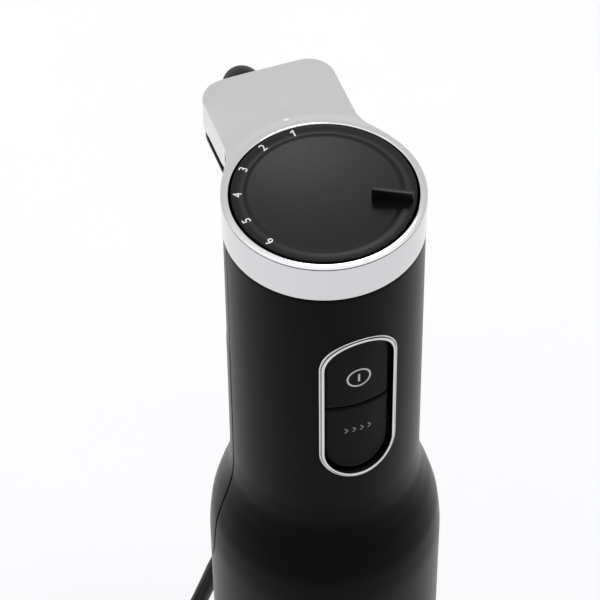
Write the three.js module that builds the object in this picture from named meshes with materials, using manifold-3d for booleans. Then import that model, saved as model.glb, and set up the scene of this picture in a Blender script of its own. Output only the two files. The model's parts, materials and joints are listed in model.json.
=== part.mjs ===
// A corded immersion blender, standing on the rim of its blending foot.
// Millimetres, +Z up. The body's long axis is vertical; the front, with the buttons, faces -Y,
// and the tongue that the cord leaves from points to +Y.
import * as THREE from 'three';
import { mergeVertices } from 'three/addons/utils/BufferGeometryUtils.js';
import Module from 'manifold-3d';

const wasm = await Module();
wasm.setup();

// ---- Driving dimensions -------------------------------------------------------------------
const RING_TOP = 398.5; // top of the chrome ring above the surface
const BAND = 12.6; // height of the chrome band
const RING_R = 28;
const DIAL_R = 25.3;
const GRIP_R = 27.7;
const BARREL_R = 34.8; // the widest part of the housing
const TONGUE_REAR = 53.5;
const TONGUE_HALF = 19.4;
const WALL = 2.2; // housing wall
const GAP = 0.3; // clearance between neighbouring pieces
const SEAM_Y = 1.5; // the shells part just behind the body axis
const HOUSING_LOW = 190;
const BUTTON_MID = 338.4; // height of the middle of the button panel
const BEZEL_HALF_W = 11.6;
const BEZEL_HALF_H = 29.4;
const BEZEL_BAND = 1.5;
const PRESS = 1.5; // stroke of the two front buttons
const RELEASE_MID = 203;
const FIN_ANGLE = 120; // degrees from the index to the finger grip
const SCREW_Z = 299;
const BAND_LOW = RING_TOP - BAND;
const TONGUE_TOP = RING_TOP - 2;

const STATOR = [236, 262]; // the motor's laminations, low to high
const SHAFT_R = 2.5;
const BLADE_SHAFT_R = 3;
const TUBE_R = 11;
const BELL_R = 33;
const BLADE_Z = 13;

const CORD_R = 3;
const RELIEF_R = 5.7;
const COIL_X = -50;
const COIL_Y = 117;
const COIL_MID_R = 31; // the turns lie two deep, spiralling from the outer radius in and out again
const COIL_HALF = 8.2; // half the width of the bundle of turns
const RELIEF_LONG = 52; // the strain relief's length along the cord, its end inside the bracket included
const PLUG_Y = 58;
const PLUG_Z = 18.5;

// The object's own footprint is centred on the origin, so the body axis lies in front of it.
const AXIS_Y = (BARREL_R - TONGUE_REAR) / 2;

// The housing's outline as radius and height, from the lower edge to the chrome band.
const HOUSING = [
  [31.2, HOUSING_LOW], [33.2, 193], [34.4, 199], [BARREL_R, 208], [BARREL_R, 240],
  [34.5, 256], [33.2, 270.5], [30.4, 282.5], [28.4, 290.5], [GRIP_R, 299], [GRIP_R, BAND_LOW - GAP],
];

// The cord's free stretches, chosen by hand about the body axis: from inside the rear bracket,
// through the strain relief and down behind the body to the coil, and from the coil to the plug.
const RUN_ROUTE = [
  [0, 42, 379], [0, 54, 379], [0, 60.9, 378.1], [0.3, 67.3, 375.4], [0.9, 72.7, 371.2], [1.7, 76.9, 365.6],
  [2.8, 79.8, 358.4], [3.9, 81.6, 349], [5.5, 84, 322], [6, 85.5, 285], [5.8, 86.2, 250], [4.7, 87, 210],
  [2.4, 88.8, 172], [-0.2, 92.2, 140], [-2.4, 97.5, 118], [-4.6, 103.5, 100], [-6.4, 109.5, 82.1],
  [-8.5, 116.1, 62.8], [-11, 122.6, 44], [-13.9, 128.9, 32.5], [-17.4, 134.8, 25.3], [-22.7, 141.4, 19.7],
  [-29.9, 147.1, 15.7],
];
const TAIL_ROUTE = [
  [-86.2, 94, 5.4], [-85.9, 84.5, 8], [-83.2, 74.4, 11.6], [-77.4, 66.2, 15], [-71.2, 61.7, 16.9],
  [-64.6, 59, 18], [-57.2, PLUG_Y, PLUG_Z],
];

// ---- Materials ----------------------------------------------------------------------------
const LOOKS = {
  chrome: { color: 0xd4d2d0, roughness: 0.12, metalness: 1 },
  steel: { color: 0xb9bbbd, roughness: 0.28, metalness: 1 },
  brass: { color: 0xc9a85a, roughness: 0.35, metalness: 1 },
  copper: { color: 0xb8652f, roughness: 0.35, metalness: 1 },
  aluminium: { color: 0xa9adb0, roughness: 0.45, metalness: 1 },
  iron: { color: 0x5c5e61, roughness: 0.5, metalness: 1 },
  softTouch: { color: 0x1a1a1b, roughness: 0.62, metalness: 0 },
  satinBlack: { color: 0x222224, roughness: 0.42, metalness: 0 },
  innerPlastic: { color: 0x2c2d30, roughness: 0.55, metalness: 0 },
  naturalNylon: { color: 0xd9d4c4, roughness: 0.5, metalness: 0 },
  rubber: { color: 0x151515, roughness: 0.8, metalness: 0 },
  carbon: { color: 0x303236, roughness: 0.7, metalness: 0 },
  board: { color: 0x2f5d3a, roughness: 0.55, metalness: 0 },
  capacitor: { color: 0xc9b23a, roughness: 0.45, metalness: 0 },
  component: { color: 0x1c1d20, roughness: 0.5, metalness: 0 },
};

const blender = new THREE.Group();
const assembly = new THREE.Group();
assembly.position.y = AXIS_Y;
blender.add(assembly);

/** Adds one named piece to the assembly, from a geometry or a manifold solid. */
function piece(name, look, shape) {
  const geometry = shape.isBufferGeometry ? shape : toGeometry(shape);
  const mesh = new THREE.Mesh(geometry, new THREE.MeshStandardMaterial(LOOKS[look]));
  mesh.name = name;
  assembly.add(mesh);
}

// ---- Shapes -------------------------------------------------------------------------------

/** A closed geometry as a manifold solid. */
function solid(geometry) {
  const bare = geometry.clone();
  bare.deleteAttribute('normal');
  bare.deleteAttribute('uv');
  const merged = mergeVertices(bare, 1e-4);
  const index = merged.index.array;
  const triangles = [];
  for (let i = 0; i < index.length; i += 3) {
    const [a, b, c] = index.slice(i, i + 3);
    if (a !== b && b !== c && c !== a) triangles.push(a, b, c);
  }
  return new wasm.Manifold(new wasm.Mesh({
    numProp: 3,
    vertProperties: merged.attributes.position.array,
    triVerts: new Uint32Array(triangles),
  }));
}

function toGeometry(manifold) {
  const { numProp, vertProperties, triVerts } = manifold.getMesh();
  const geometry = new THREE.BufferGeometry();
  geometry.setAttribute('position', new THREE.BufferAttribute(vertProperties, numProp));
  geometry.setIndex(new THREE.BufferAttribute(triVerts, 1));
  geometry.computeVertexNormals();
  return geometry;
}

const join = (...geometries) => geometries.map(solid).reduce((whole, next) => whole.add(next));

/** Turns an outline of [radius, height] points, anticlockwise, about the Z axis. */
function lathe(outline, sides = 20) {
  const points = outline.map(([radius, height]) => new THREE.Vector2(radius, height));
  return new THREE.LatheGeometry(points, sides).rotateX(Math.PI / 2);
}

function disc(radius, low, high, sides = 20) {
  return lathe([[0, low], [radius, low], [radius, high], [0, high]], sides);
}

function ring(outer, inner, low, high, sides = 20) {
  return lathe([[inner, low], [outer, low], [outer, high], [inner, high], [inner, low]], sides);
}

function box([x0, x1], [y0, y1], [z0, z1]) {
  const geometry = new THREE.BoxGeometry(x1 - x0, y1 - y0, z1 - z0);
  return geometry.translate((x0 + x1) / 2, (y0 + y1) / 2, (z0 + z1) / 2);
}

/** Extrudes a shape along an axis: x takes a (y, z) shape, y an (x, z) one, z an (x, y) one. */
function prism(shape, axis, from, to, curveSegments = 4) {
  const depth = to - from;
  const geometry = new THREE.ExtrudeGeometry(shape, { depth, bevelEnabled: false, curveSegments });
  if (axis === 'z') return geometry.translate(0, 0, from);
  if (axis === 'y') return geometry.rotateX(Math.PI / 2).translate(0, to, 0);
  const turn = new THREE.Matrix4().makeBasis(
    new THREE.Vector3(0, 1, 0), new THREE.Vector3(0, 0, 1), new THREE.Vector3(1, 0, 0));
  return geometry.applyMatrix4(turn).translate(from, 0, 0);
}

function polygon(points) {
  return new THREE.Shape(points.map(([x, y]) => new THREE.Vector2(x, y)));
}

/** A rectangle with rounded corners, from its middle and half sizes. */
function rounded(midX, midY, halfX, halfY, radius) {
  const shape = new THREE.Shape();
  const corners = [[1, -1, -90], [1, 1, 0], [-1, 1, 90], [-1, -1, 180]];
  for (const [signX, signY, start] of corners) {
    const x = midX + signX * (halfX - radius);
    const y = midY + signY * (halfY - radius);
    shape.absarc(x, y, radius, THREE.MathUtils.degToRad(start), THREE.MathUtils.degToRad(start + 90));
  }
  return shape;
}

/** A cylinder along Y or X, for pins, bores and screws that lie across the body. */
function crossRod(axis, radius, from, to, [u, v], sides = 16) {
  const circle = new THREE.Shape().absarc(u, v, radius, 0, 2 * Math.PI);
  return prism(circle, axis, from, to, sides);
}

/** A hexagonal prism about the Z axis, measured across its corners. */
function hexagon(radius, low, high) {
  return new THREE.CylinderGeometry(radius, radius, high - low, 6)
    .rotateX(Math.PI / 2).translate(0, 0, (low + high) / 2);
}

const curveThrough = (route) => new THREE.CatmullRomCurve3(
  route.map(([x, y, z]) => new THREE.Vector3(x, y, z)), false, 'centripetal');

/** A round bar along a curve, in even steps. */
function tube(curve, radius, steps, sides = 10) {
  const section = new THREE.Shape(
    Array.from({ length: sides }, (_, i) => {
      const angle = (2 * Math.PI * i) / sides;
      return new THREE.Vector2(radius * Math.cos(angle), radius * Math.sin(angle));
    }));
  return new THREE.ExtrudeGeometry(section, { steps, extrudePath: curve });
}

/** The part of a curve between two distances along it. */
function stretch(curve, from, to) {
  const length = curve.getLength();
  const part = new THREE.Curve();
  part.getPoint = (t, target) => curve.getPointAt((from + (to - from) * t) / length, target);
  return part;
}

/** Bends a turned piece along a curve that never runs along X, its height 0 at the start. */
function bendAlong(geometry, curve) {
  const length = curve.getLength();
  const position = geometry.attributes.position;
  for (let i = 0; i < position.count; i++) {
    const share = THREE.MathUtils.clamp(position.getZ(i) / length, 0, 1);
    const tangent = curve.getTangentAt(share);
    const up = new THREE.Vector3().crossVectors(tangent, new THREE.Vector3(1, 0, 0)).normalize();
    const across = new THREE.Vector3().crossVectors(up, tangent);
    const point = curve.getPointAt(share)
      .addScaledVector(across, position.getX(i)).addScaledVector(up, position.getY(i));
    position.setXYZ(i, point.x, point.y, point.z);
  }
  return geometry;
}

// ---- Housing ------------------------------------------------------------------------------
const SHELL_SIDES = 24;

/** The housing's outline moved in or out, filled to the axis and run past both ends by `past`. */
function housingSolid(offset, past = 0) {
  const points = HOUSING.map(([radius, height]) => [radius + offset, height]);
  const [low, high] = [points[0], points[points.length - 1]];
  const ends = past ? [[low[0], low[1] - past], [high[0], high[1] + past]] : [low, high];
  const outline = [[0, ends[0][1]], ends[0], ...(past ? points : points.slice(1, -1)), ends[1], [0, ends[1][1]]];
  return solid(lathe(outline, SHELL_SIDES));
}

/** Everything behind the seam, which runs down the sides and then sweeps to the back. */
function behindSeam(shift) {
  const far = 70;
  const shape = new THREE.Shape();
  shape.moveTo(SEAM_Y + shift, RING_TOP);
  shape.lineTo(SEAM_Y + shift, 258);
  shape.quadraticCurveTo(SEAM_Y + 1.5 + shift, 236 + shift, 36.5, 226 + shift);
  shape.lineTo(far, 226 + shift);
  shape.lineTo(far, RING_TOP);
  return solid(prism(shape, 'x', -far, far, 10));
}

/** The bracket that flares out of the rear shell to carry the chrome tongue. */
function corbel(inset) {
  const rear = TONGUE_REAR - 1.5 - inset;
  const top = BAND_LOW - GAP - inset * 0.8;
  const side = polygon([
    [20, top], [20, 342 + inset], [26.8, 342 + inset], [38, 356 + inset],
    [47 - inset, 366 + inset], [rear, 372.5 + inset], [rear, top],
  ]);
  const half = TONGUE_HALF - 0.5 - inset;
  const front = polygon([
    [half, top], [-half, top], [-half, 384 - inset / 2], [inset - 12, 376.5], [inset - 8.5, 370],
    [inset - 8.5, 342], [8.5 - inset, 342], [8.5 - inset, 370], [12 - inset, 376.5], [half, 384 - inset / 2],
  ]);
  const plan = rounded(0, rear / 2, half, rear / 2, 6.5);
  return solid(prism(side, 'x', -30, 30))
    .intersect(solid(prism(front, 'y', 0, 60)))
    .intersect(solid(prism(plan, 'z', 330, RING_TOP)));
}

/** A rod from front to back on the axis of the shell screw. */
const screwRod = (radius, from, to) => solid(crossRod('y', radius, from, to, [0, SCREW_Z], 6));

const buttonOpening = (half) => prism(
  rounded(0, BUTTON_MID, half, half + BEZEL_HALF_H - BEZEL_HALF_W, half - 0.01), 'y', -40, -15, 5);

const releaseOpening = (grow) => rounded(0, RELEASE_MID, 7.5 + grow, 9 + grow, 3 + grow);

function housingShells() {
  const wall = housingSolid(0).subtract(housingSolid(-WALL, 1));

  const front = wall.add(screwRod(3.6, -26, SEAM_Y - GAP / 2))
    .subtract(behindSeam(-GAP / 2))
    .subtract(solid(buttonOpening(BEZEL_HALF_W + GAP)))
    .subtract(solid(prism(releaseOpening(0.4), 'x', -40, 40)))
    .subtract(screwRod(1.75, -16, 10));
  piece('front_shell', 'softTouch', front);

  const vents = [0, 1, 2, 3, 4]
    .map((row) => solid(box([-11, 11], [20, 45], [244 + 4.5 * row, 246 + 4.5 * row])))
    .reduce((slots, next) => slots.add(next));
  const rear = wall.add(corbel(0))
    .subtract(housingSolid(-WALL, 1))
    .subtract(corbel(2))
    .add(screwRod(4.4, SEAM_Y + GAP / 2, 26.5))
    .intersect(behindSeam(GAP / 2))
    .subtract(screwRod(1.75, 0, 40))
    .subtract(screwRod(3.1, 18, 40))
    .subtract(vents)
    .subtract(solid(crossRod('y', 4.7, 40, 60, [0, 378.9], 8)));
  piece('rear_shell', 'softTouch', rear);

  piece('shell_screw', 'steel', screwRod(1.3, -13, 19).add(screwRod(2.7, 18.4, 20.6)));
}

// ---- Head: chrome cap, dial and speed control ---------------------------------------------
function headTrim() {
  const plan = (inset) => {
    const rear = TONGUE_REAR - inset;
    return rounded(0, rear / 2, TONGUE_HALF - inset, rear / 2, 7 - inset / 2);
  };
  const band = solid(lathe([
    [0, BAND_LOW], [RING_R, BAND_LOW], [RING_R, RING_TOP - 0.6], [26.3, RING_TOP], [0, RING_TOP],
  ], SHELL_SIDES));
  const tongue = solid(prism(plan(0), 'z', BAND_LOW, TONGUE_TOP));
  const hollow = solid(prism(plan(1.8), 'z', BAND_LOW - 1, TONGUE_TOP - 2))
    .subtract(solid(disc(RING_R, BAND_LOW - 2, RING_TOP, SHELL_SIDES)));
  return band.add(tongue).subtract(hollow).subtract(solid(disc(25.8, BAND_LOW - 1, RING_TOP + 1, SHELL_SIDES)));
}

function dialFin() {
  const low = RING_TOP - 1;
  const blade = box([-0.85, 0.85], [13, 24.2], [low, RING_TOP + 3.8]);
  const foot = box([-1.6, 1.6], [21.8, 24.6], [low, RING_TOP + 1.2]);
  const turn = -THREE.MathUtils.degToRad(FIN_ANGLE);
  return join(blade, foot).transform(new THREE.Matrix4().makeRotationZ(turn).toArray());
}

function head() {
  piece('head_trim', 'chrome', headTrim());
  const dial = solid(lathe([
    [0, 394.9], [3.2, 394.9], [3.2, 391], [5, 391], [5, 394.9],
    [DIAL_R, 394.9], [DIAL_R, RING_TOP + 0.3], [0, RING_TOP + 0.3],
  ], SHELL_SIDES));
  piece('speed_dial', 'satinBlack', dial.add(dialFin()));
  piece('dial_shaft', 'naturalNylon', disc(2.9, 383.4, 394.6, 16));
  piece('dial_seat', 'innerPlastic', lathe([
    [3.4, 388.3], [23, 388.3], [23, 383.6], [24.8, 383.6], [24.8, 386.3], [25.4, 386.3],
    [25.4, 394.5], [24, 394.5], [24, 390.5], [3.4, 390.5], [3.4, 388.3],
  ], SHELL_SIDES));
  piece('speed_potentiometer', 'component', lathe([
    [0, 380], [8.5, 380], [8.5, 385.5], [5, 387.9], [3.3, 387.9], [3.3, 383], [0, 383],
  ]));
}

// ---- Front buttons ------------------------------------------------------------------------

/** The stretch of a shape on the front of the grip between two radii. */
function onGrip(geometry, outer, inner) {
  const low = BUTTON_MID - 40;
  const high = BUTTON_MID + 40;
  return solid(geometry).intersect(solid(ring(outer, inner, low, high, 32)));
}

function pressSpring(z) {
  const turns = 3.5;
  const coil = new THREE.Curve();
  coil.getPoint = (t, target = new THREE.Vector3()) => {
    const angle = 2 * Math.PI * turns * t;
    return target.set(4.7 * Math.cos(angle), -22.2 + 7.6 * t, z + 4.7 * Math.sin(angle));
  };
  return tube(coil, 0.4, 8 * turns, 4);
}

function frontButtons() {
  const inner = BEZEL_HALF_W - BEZEL_BAND;
  const frame = onGrip(buttonOpening(BEZEL_HALF_W), 28.5, 24.8).subtract(solid(buttonOpening(inner)));
  piece('button_bezel', 'chrome', frame);

  const cap = onGrip(buttonOpening(inner - 0.4), 27.1, 23.6);
  const split = 0.3;
  const halves = { power: [BUTTON_MID + split, BUTTON_MID + 40], turbo: [BUTTON_MID - 40, BUTTON_MID - split] };
  const middle = { power: BUTTON_MID + 11.7, turbo: BUTTON_MID - 11.7 };
  for (const [name, span] of Object.entries(halves)) {
    const z = middle[name];
    const half = cap.intersect(solid(box([-20, 20], [-40, 0], span)));
    const stem = solid(crossRod('y', 2.2, -25, -21.3, [0, z], 5));
    piece(`${name}_button`, 'satinBlack', half.add(stem));
    piece(`${name}_switch`, 'component', box([-2.8, 2.8], [-21 + PRESS + GAP, -13.9], [z - 2.6, z + 2.6]));
    piece(`${name}_button_spring`, 'steel', pressSpring(z));
  }
}

// ---- Electrics in the grip ----------------------------------------------------------------
function electrics() {
  piece('control_board', 'board', box([-13.5, 13.5], [-13.6, -12], [307, 372]));
  const fins = [-8, -4, 0, 4, 8].map((x) => solid(box([x - 0.7, x + 0.7], [-9.6, -1], [314, 340])));
  const base = solid(box([-10, 10], [-11.4, -9.4], [314, 340]));
  piece('heat_sink', 'aluminium', fins.reduce((sink, fin) => sink.add(fin), base));
  piece('suppression_capacitor', 'capacitor', box([-9, 9], [6, 15], [342, 360]));
  piece('choke', 'copper', disc(6.5, 312, 332, 16).translate(0, 11, 0));
  piece('cord_clamp', 'naturalNylon', join(
    box([-7.2, 7.2], [30, 35], [375.6, 377.6]),
    box([-7.2, -5], [30, 35], [377, 381.5]),
    box([5, 7.2], [30, 35], [377, 381.5])));
}

// ---- Motor --------------------------------------------------------------------------------
const [STATOR_LOW, STATOR_HIGH] = STATOR;
const WINDOW = 18; // half the distance across the windows that hold the field coils

function statorCore() {
  const outline = solid(disc(24.5, STATOR_LOW, STATOR_HIGH, SHELL_SIDES))
    .intersect(solid(box([-25, 25], [-20.5, 20.5], STATOR)));
  const bore = solid(disc(12.2, STATOR_LOW - 1, STATOR_HIGH + 1));
  return outline.subtract(bore).subtract(solid(box([-WINDOW, WINDOW], [-9, 9], [200, 300])));
}

/** A winding that goes up one window, round the pole face and down the other. */
function fieldCoil(sign) {
  const half = sign < 0 ? [-30, -0.8] : [0.8, 30];
  const turns = [[STATOR_LOW - 5, STATOR_LOW - GAP], [STATOR_HIGH + GAP, STATOR_HIGH + 5]]
    .map(([low, high]) => solid(ring(17.2, 12.8, low, high)));
  const leg = sign < 0 ? [-8, -0.8] : [0.8, 8];
  const rise = [STATOR_LOW - 3, STATOR_HIGH + 3];
  const legs = [[-17, -13.6], [13.6, 17]].map((span) => solid(box(span, leg, rise)));
  const arcs = turns[0].add(turns[1]).intersect(solid(box([-30, 30], half, [200, 300])));
  return arcs.add(legs[0]).add(legs[1]);
}

function spokes(count, width, from, to, low, high) {
  return Array.from({ length: count }, (_, i) => {
    const bar = box([from, to], [-width / 2, width / 2], [low, high]);
    return solid(bar.rotateZ((2 * Math.PI * i) / count));
  });
}

function rotor() {
  const slots = 8;
  const cut = (whole, part) => whole.subtract(part);
  const add = (whole, part) => whole.add(part);
  const core = solid(ring(11.4, SHAFT_R + GAP, STATOR_LOW + 0.5, STATOR_HIGH - 0.5));
  piece('armature_core', 'iron', spokes(slots, 2.8, 6.2, 13, 200, 300).reduce(cut, core));
  const ends = [[STATOR_LOW - 5.5, STATOR_LOW], [STATOR_HIGH, STATOR_HIGH + 5.5]]
    .map(([low, high]) => solid(ring(10.6, SHAFT_R + GAP, low, high)));
  const bars = spokes(slots, 2.2, 6.6, 10, STATOR_LOW - 1, STATOR_HIGH + 1);
  piece('armature_winding', 'copper', [ends[1], ...bars].reduce(add, ends[0]));
  piece('commutator', 'copper', ring(7.6, SHAFT_R + GAP, 270, 280, 16));
  piece('motor_shaft', 'steel', disc(SHAFT_R, 201.8, 291, 16));
  const hub = solid(ring(5, SHAFT_R + GAP, 222, 229, 16)).add(solid(ring(19.8, 4, 222, 223.2)));
  piece('cooling_fan', 'innerPlastic', spokes(9, 1.2, 4.5, 19.3, 223, 229).reduce(add, hub));
  const socket = solid(disc(10, 189.5, 206)).subtract(solid(hexagon(6.9, 188, 200)))
    .subtract(solid(disc(SHAFT_R + GAP, 201.5, 207, 16)));
  piece('drive_coupling', 'naturalNylon', socket);
}

function motorFrame() {
  const plate = (low, high, reach) => solid(box([-reach, reach], [-9, 9], [low, high]));
  const posts = (low, high) => [[-24.4, -20.6], [20.6, 24.4]]
    .map((span) => solid(box(span, [-8, 8], [low, high])))
    .reduce((pair, post) => pair.add(post));
  const lower = plate(215, 219, 29.5).add(solid(disc(9, 215, 221.2)))
    .add(posts(218, STATOR_LOW - GAP)).subtract(solid(disc(6.8, 210, 225)));
  piece('motor_bracket_lower', 'aluminium', lower);
  const upper = plate(284, 287.5, 24.4).add(posts(STATOR_HIGH + GAP, 285))
    .add(solid(disc(8, 284, 289))).subtract(solid(disc(5.8, 280, 292)));
  piece('motor_bracket_upper', 'aluminium', upper);
  piece('bearing_lower', 'steel', ring(6.5, SHAFT_R + GAP, 215.5, 220.7, 16));
  piece('bearing_upper', 'steel', ring(5.5, SHAFT_R + GAP, 284.3, 288.6, 16));
  piece('stator_core', 'iron', statorCore());
  piece('field_coil_front', 'copper', fieldCoil(-1));
  piece('field_coil_rear', 'copper', fieldCoil(1));
  for (const [side, sign] of [['left', -1], ['right', 1]]) {
    const holder = box([9.5, 20.2], [-4, 4], [271, 279]);
    const brush = box([7.9, 18], [-2.5, 2.5], [272.5, 277.5]);
    const turn = sign < 0 ? Math.PI : 0;
    const bore = box([9, 21], [-2.9, 2.9], [272.1, 277.9]);
    piece(`brush_holder_${side}`, 'brass', solid(holder.rotateZ(turn)).subtract(solid(bore.rotateZ(turn))));
    piece(`carbon_brush_${side}`, 'carbon', brush.rotateZ(turn));
  }
}

// ---- Coupling between the motor unit and the foot -----------------------------------------
const HOOK_Z = { left: [197.5, 199.7], right: [202.3, 204.5] };

function footSocket() {
  const socket = solid(lathe([
    [20, 190.3], [28.6, 190.3], [28.6, 192.3], [21.8, 192.3], [21.8, 210], [31.6, 210], [31.6, 212.4],
    [7, 212.4], [7, 210], [20, 210], [20, 190.3],
  ], SHELL_SIDES));
  const pressRoom = solid(box([28.4, 34], [-8.2, 8.2], [209, 213])); // a pressed pad passes the flange
  return Object.values(HOOK_Z).reduce((whole, [low, high], i) => {
    const span = i === 0 ? [15, 24] : [-24, -15];
    return whole.subtract(solid(box(span, [-4.5, 4.5], [low - 0.5, high + 0.5])));
  }, socket.subtract(pressRoom).subtract(pressRoom.mirror([1, 0, 0])));
}

/** A side button on the +X side: its pad, and the yoke whose hook holds the foot on the far side. */
function releaseButton([low, high]) {
  const pad = solid(prism(releaseOpening(0), 'x', 20, 40))
    .intersect(housingSolid(0.6, 1)).subtract(housingSolid(-3));
  const yoke = solid(ring(27, 24.4, low, high));
  const web = solid(box([25.5, 33], [-5, 5], [low, high]));
  const hook = solid(box([-26, -19.8], [-4, 4], [low, high]))
    .subtract(solid(disc(19.8, low - 1, high + 1, SHELL_SIDES)));
  return pad.add(yoke).add(web).add(hook);
}

function releaseSpring(sign) {
  const turns = 3.5;
  const coil = new THREE.Curve();
  coil.getPoint = (t, target = new THREE.Vector3()) => {
    const angle = 2 * Math.PI * turns * t;
    return target.set(sign * (22.7 + 7.4 * t), 1.9 * Math.cos(angle), 207.6 + 1.9 * Math.sin(angle));
  };
  return tube(coil, 0.35, 8 * turns, 4);
}

function footCoupling() {
  piece('foot_socket', 'innerPlastic', footSocket());
  piece('collar_ring', 'chrome', lathe([
    [20.4, 186], [30.6, 186], [31.3, 187], [31.3, HOUSING_LOW - GAP], [20.4, HOUSING_LOW - GAP], [20.4, 186],
  ], SHELL_SIDES));
  const mirror = new THREE.Matrix4().makeRotationZ(Math.PI).toArray();
  piece('release_button_right', 'softTouch', releaseButton(HOOK_Z.right));
  piece('release_button_left', 'softTouch', releaseButton(HOOK_Z.left).transform(mirror));
  piece('release_spring_left', 'steel', releaseSpring(-1));
  piece('release_spring_right', 'steel', releaseSpring(1));
}

// ---- Blending foot ------------------------------------------------------------------------
function bellGuard() {
  const bell = solid(lathe([
    [BELL_R - 1.6, 0], [BELL_R, 0], [BELL_R + 0.2, 8], [32.4, 18], [30, 28], [25.5, 37], [19.5, 44.5],
    [15.5, 50], [13.8, 57], [13.6, 64], [TUBE_R + GAP, 64], [TUBE_R + GAP, 49.7], [5.8, 49.7],
    [5.8, 36], [8.5, 36], [9, 41.5], [13, 43], [18, 41], [24, 34.5], [28.4, 26], [30.7, 17],
    [31.6, 8], [BELL_R - 1.6, 0],
  ], SHELL_SIDES));
  const arch = new THREE.Shape();
  arch.moveTo(-7, -1);
  arch.lineTo(7, -1);
  arch.lineTo(7, 3.5);
  arch.absarc(0, 3.5, 7, 0, Math.PI);
  const across = solid(prism(arch, 'x', -40, 40)).add(solid(prism(arch, 'y', -40, 40)));
  const middle = solid(disc(25, -2, 12, SHELL_SIDES));
  return bell.subtract(across.subtract(middle));
}

/** One pair of wings: flat in the middle, then bent up or down towards the tips. */
function wings(reach, rise, halfWidth) {
  const flat = 8;
  const thick = 1.4;
  const lower = [[-reach, BLADE_Z + rise], [-flat, BLADE_Z], [flat, BLADE_Z], [reach, BLADE_Z + rise]];
  const upper = lower.map(([x, z]) => [x, z + thick]).reverse();
  return solid(prism(polygon([...lower, ...upper]), 'y', -halfWidth, halfWidth));
}

function bladeAssembly() {
  const quarter = new THREE.Matrix4().makeRotationZ(Math.PI / 2).toArray();
  const star = wings(27, -2.5, 4.5).add(wings(22, 4, 4).transform(quarter))
    .subtract(solid(disc(BLADE_SHAFT_R + GAP, 0, 30, 16)));
  piece('blade', 'steel', star);
  piece('blade_nut', 'steel', hexagon(5.6, 8.6, BLADE_Z - GAP));
  piece('blade_shaft', 'steel', lathe([
    [0, BLADE_Z], [BLADE_SHAFT_R, BLADE_Z], [BLADE_SHAFT_R, BLADE_Z + 1.8], [5.2, BLADE_Z + 1.8],
    [5.2, 35.7], [BLADE_SHAFT_R, 35.7], [BLADE_SHAFT_R, 193], [0, 193],
  ]));
  const coupling = solid(hexagon(6, 187, 199)).subtract(solid(disc(BLADE_SHAFT_R + GAP, 186, 193.3, 16)));
  piece('driven_coupling', 'naturalNylon', coupling);
}

function blendingFoot() {
  piece('foot_collar', 'satinBlack', lathe([
    [TUBE_R + GAP, 136], [14.2, 136], [14.6, 143], [18, 154], [26, 168], [30.2, 178], [30.8, 183],
    [30.4, 185.5], [19.5, 185.5], [19.5, 209], [15.5, 209], [15.5, 186], [6.3, 186],
    [6.3, 176], [TUBE_R + GAP, 176], [TUBE_R + GAP, 136],
  ], SHELL_SIDES));
  piece('shaft_tube', 'steel', ring(TUBE_R, TUBE_R - 1.2, 50, 175.7, SHELL_SIDES));
  piece('bell_guard', 'steel', bellGuard());
  piece('bush_upper', 'brass', ring(6, BLADE_SHAFT_R + GAP, 176.4, 185.6, 16));
  piece('bush_lower', 'brass', ring(5.5, BLADE_SHAFT_R + GAP, 39.2, 49.4, 16));
  piece('shaft_seal', 'rubber', ring(5.5, BLADE_SHAFT_R + GAP, 36.3, 38.9, 16));
}

// ---- Cord ---------------------------------------------------------------------------------
function cord() {
  const run = curveThrough(RUN_ROUTE);
  const relief = stretch(run, 0, RELIEF_LONG);
  piece('strain_relief', 'rubber', bendAlong(lathe([
    [0, 0], [4.1, 0], [4.1, 10.9], [RELIEF_R, 11.2], [RELIEF_R, 30], [5, 41],
    [4.1, RELIEF_LONG], [0, RELIEF_LONG],
  ], 20), relief));
  piece('cord_run', 'rubber', tube(stretch(run, RELIEF_LONG + GAP, run.getLength()), CORD_R, 28));
  const [inner, outer] = [COIL_MID_R - COIL_HALF, COIL_MID_R + COIL_HALF];
  const bundle = lathe([
    [inner, 0], [outer - 1, 0], [outer, 1], [outer, 11], [outer - 1, 12], [inner, 12], [inner, 0],
  ], 32);
  piece('cord_coil', 'rubber', bundle.translate(COIL_X, COIL_Y, 0));
  piece('cord_tail', 'rubber', tube(curveThrough(TAIL_ROUTE), CORD_R, 6));
  plug();
}

/** A contour plug lying on its side: pins towards +X, cord entering from -X. */
function plug() {
  const start = -56.7;
  const along = (geometry) => geometry.rotateY(Math.PI / 2).translate(start, PLUG_Y, PLUG_Z);
  piece('plug_body', 'rubber', along(lathe([
    [0, 0], [4.2, 0], [5.6, 16], [11, 21], [16.5, 25], [18.3, 29], [18.3, 48], [17, 50], [0, 50],
  ])));
  for (const [side, offset] of [['left', -9.5], ['right', 9.5]]) {
    const pin = lathe([[0, 50.3], [2.4, 50.3], [2.4, 67.8], [1.6, 69], [0, 69]], 12);
    piece(`plug_pin_${side}`, 'brass', along(pin).translate(0, offset, 0));
  }
}

housingShells();
head();
frontButtons();
electrics();
motorFrame();
rotor();
footCoupling();
blendingFoot();
bladeAssembly();
cord();

export default blender;
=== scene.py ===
import json
from math import acos, atan2, cos, hypot, pi, radians, sin, sqrt

import bmesh
import bpy
from mathutils import Matrix, Vector


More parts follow.
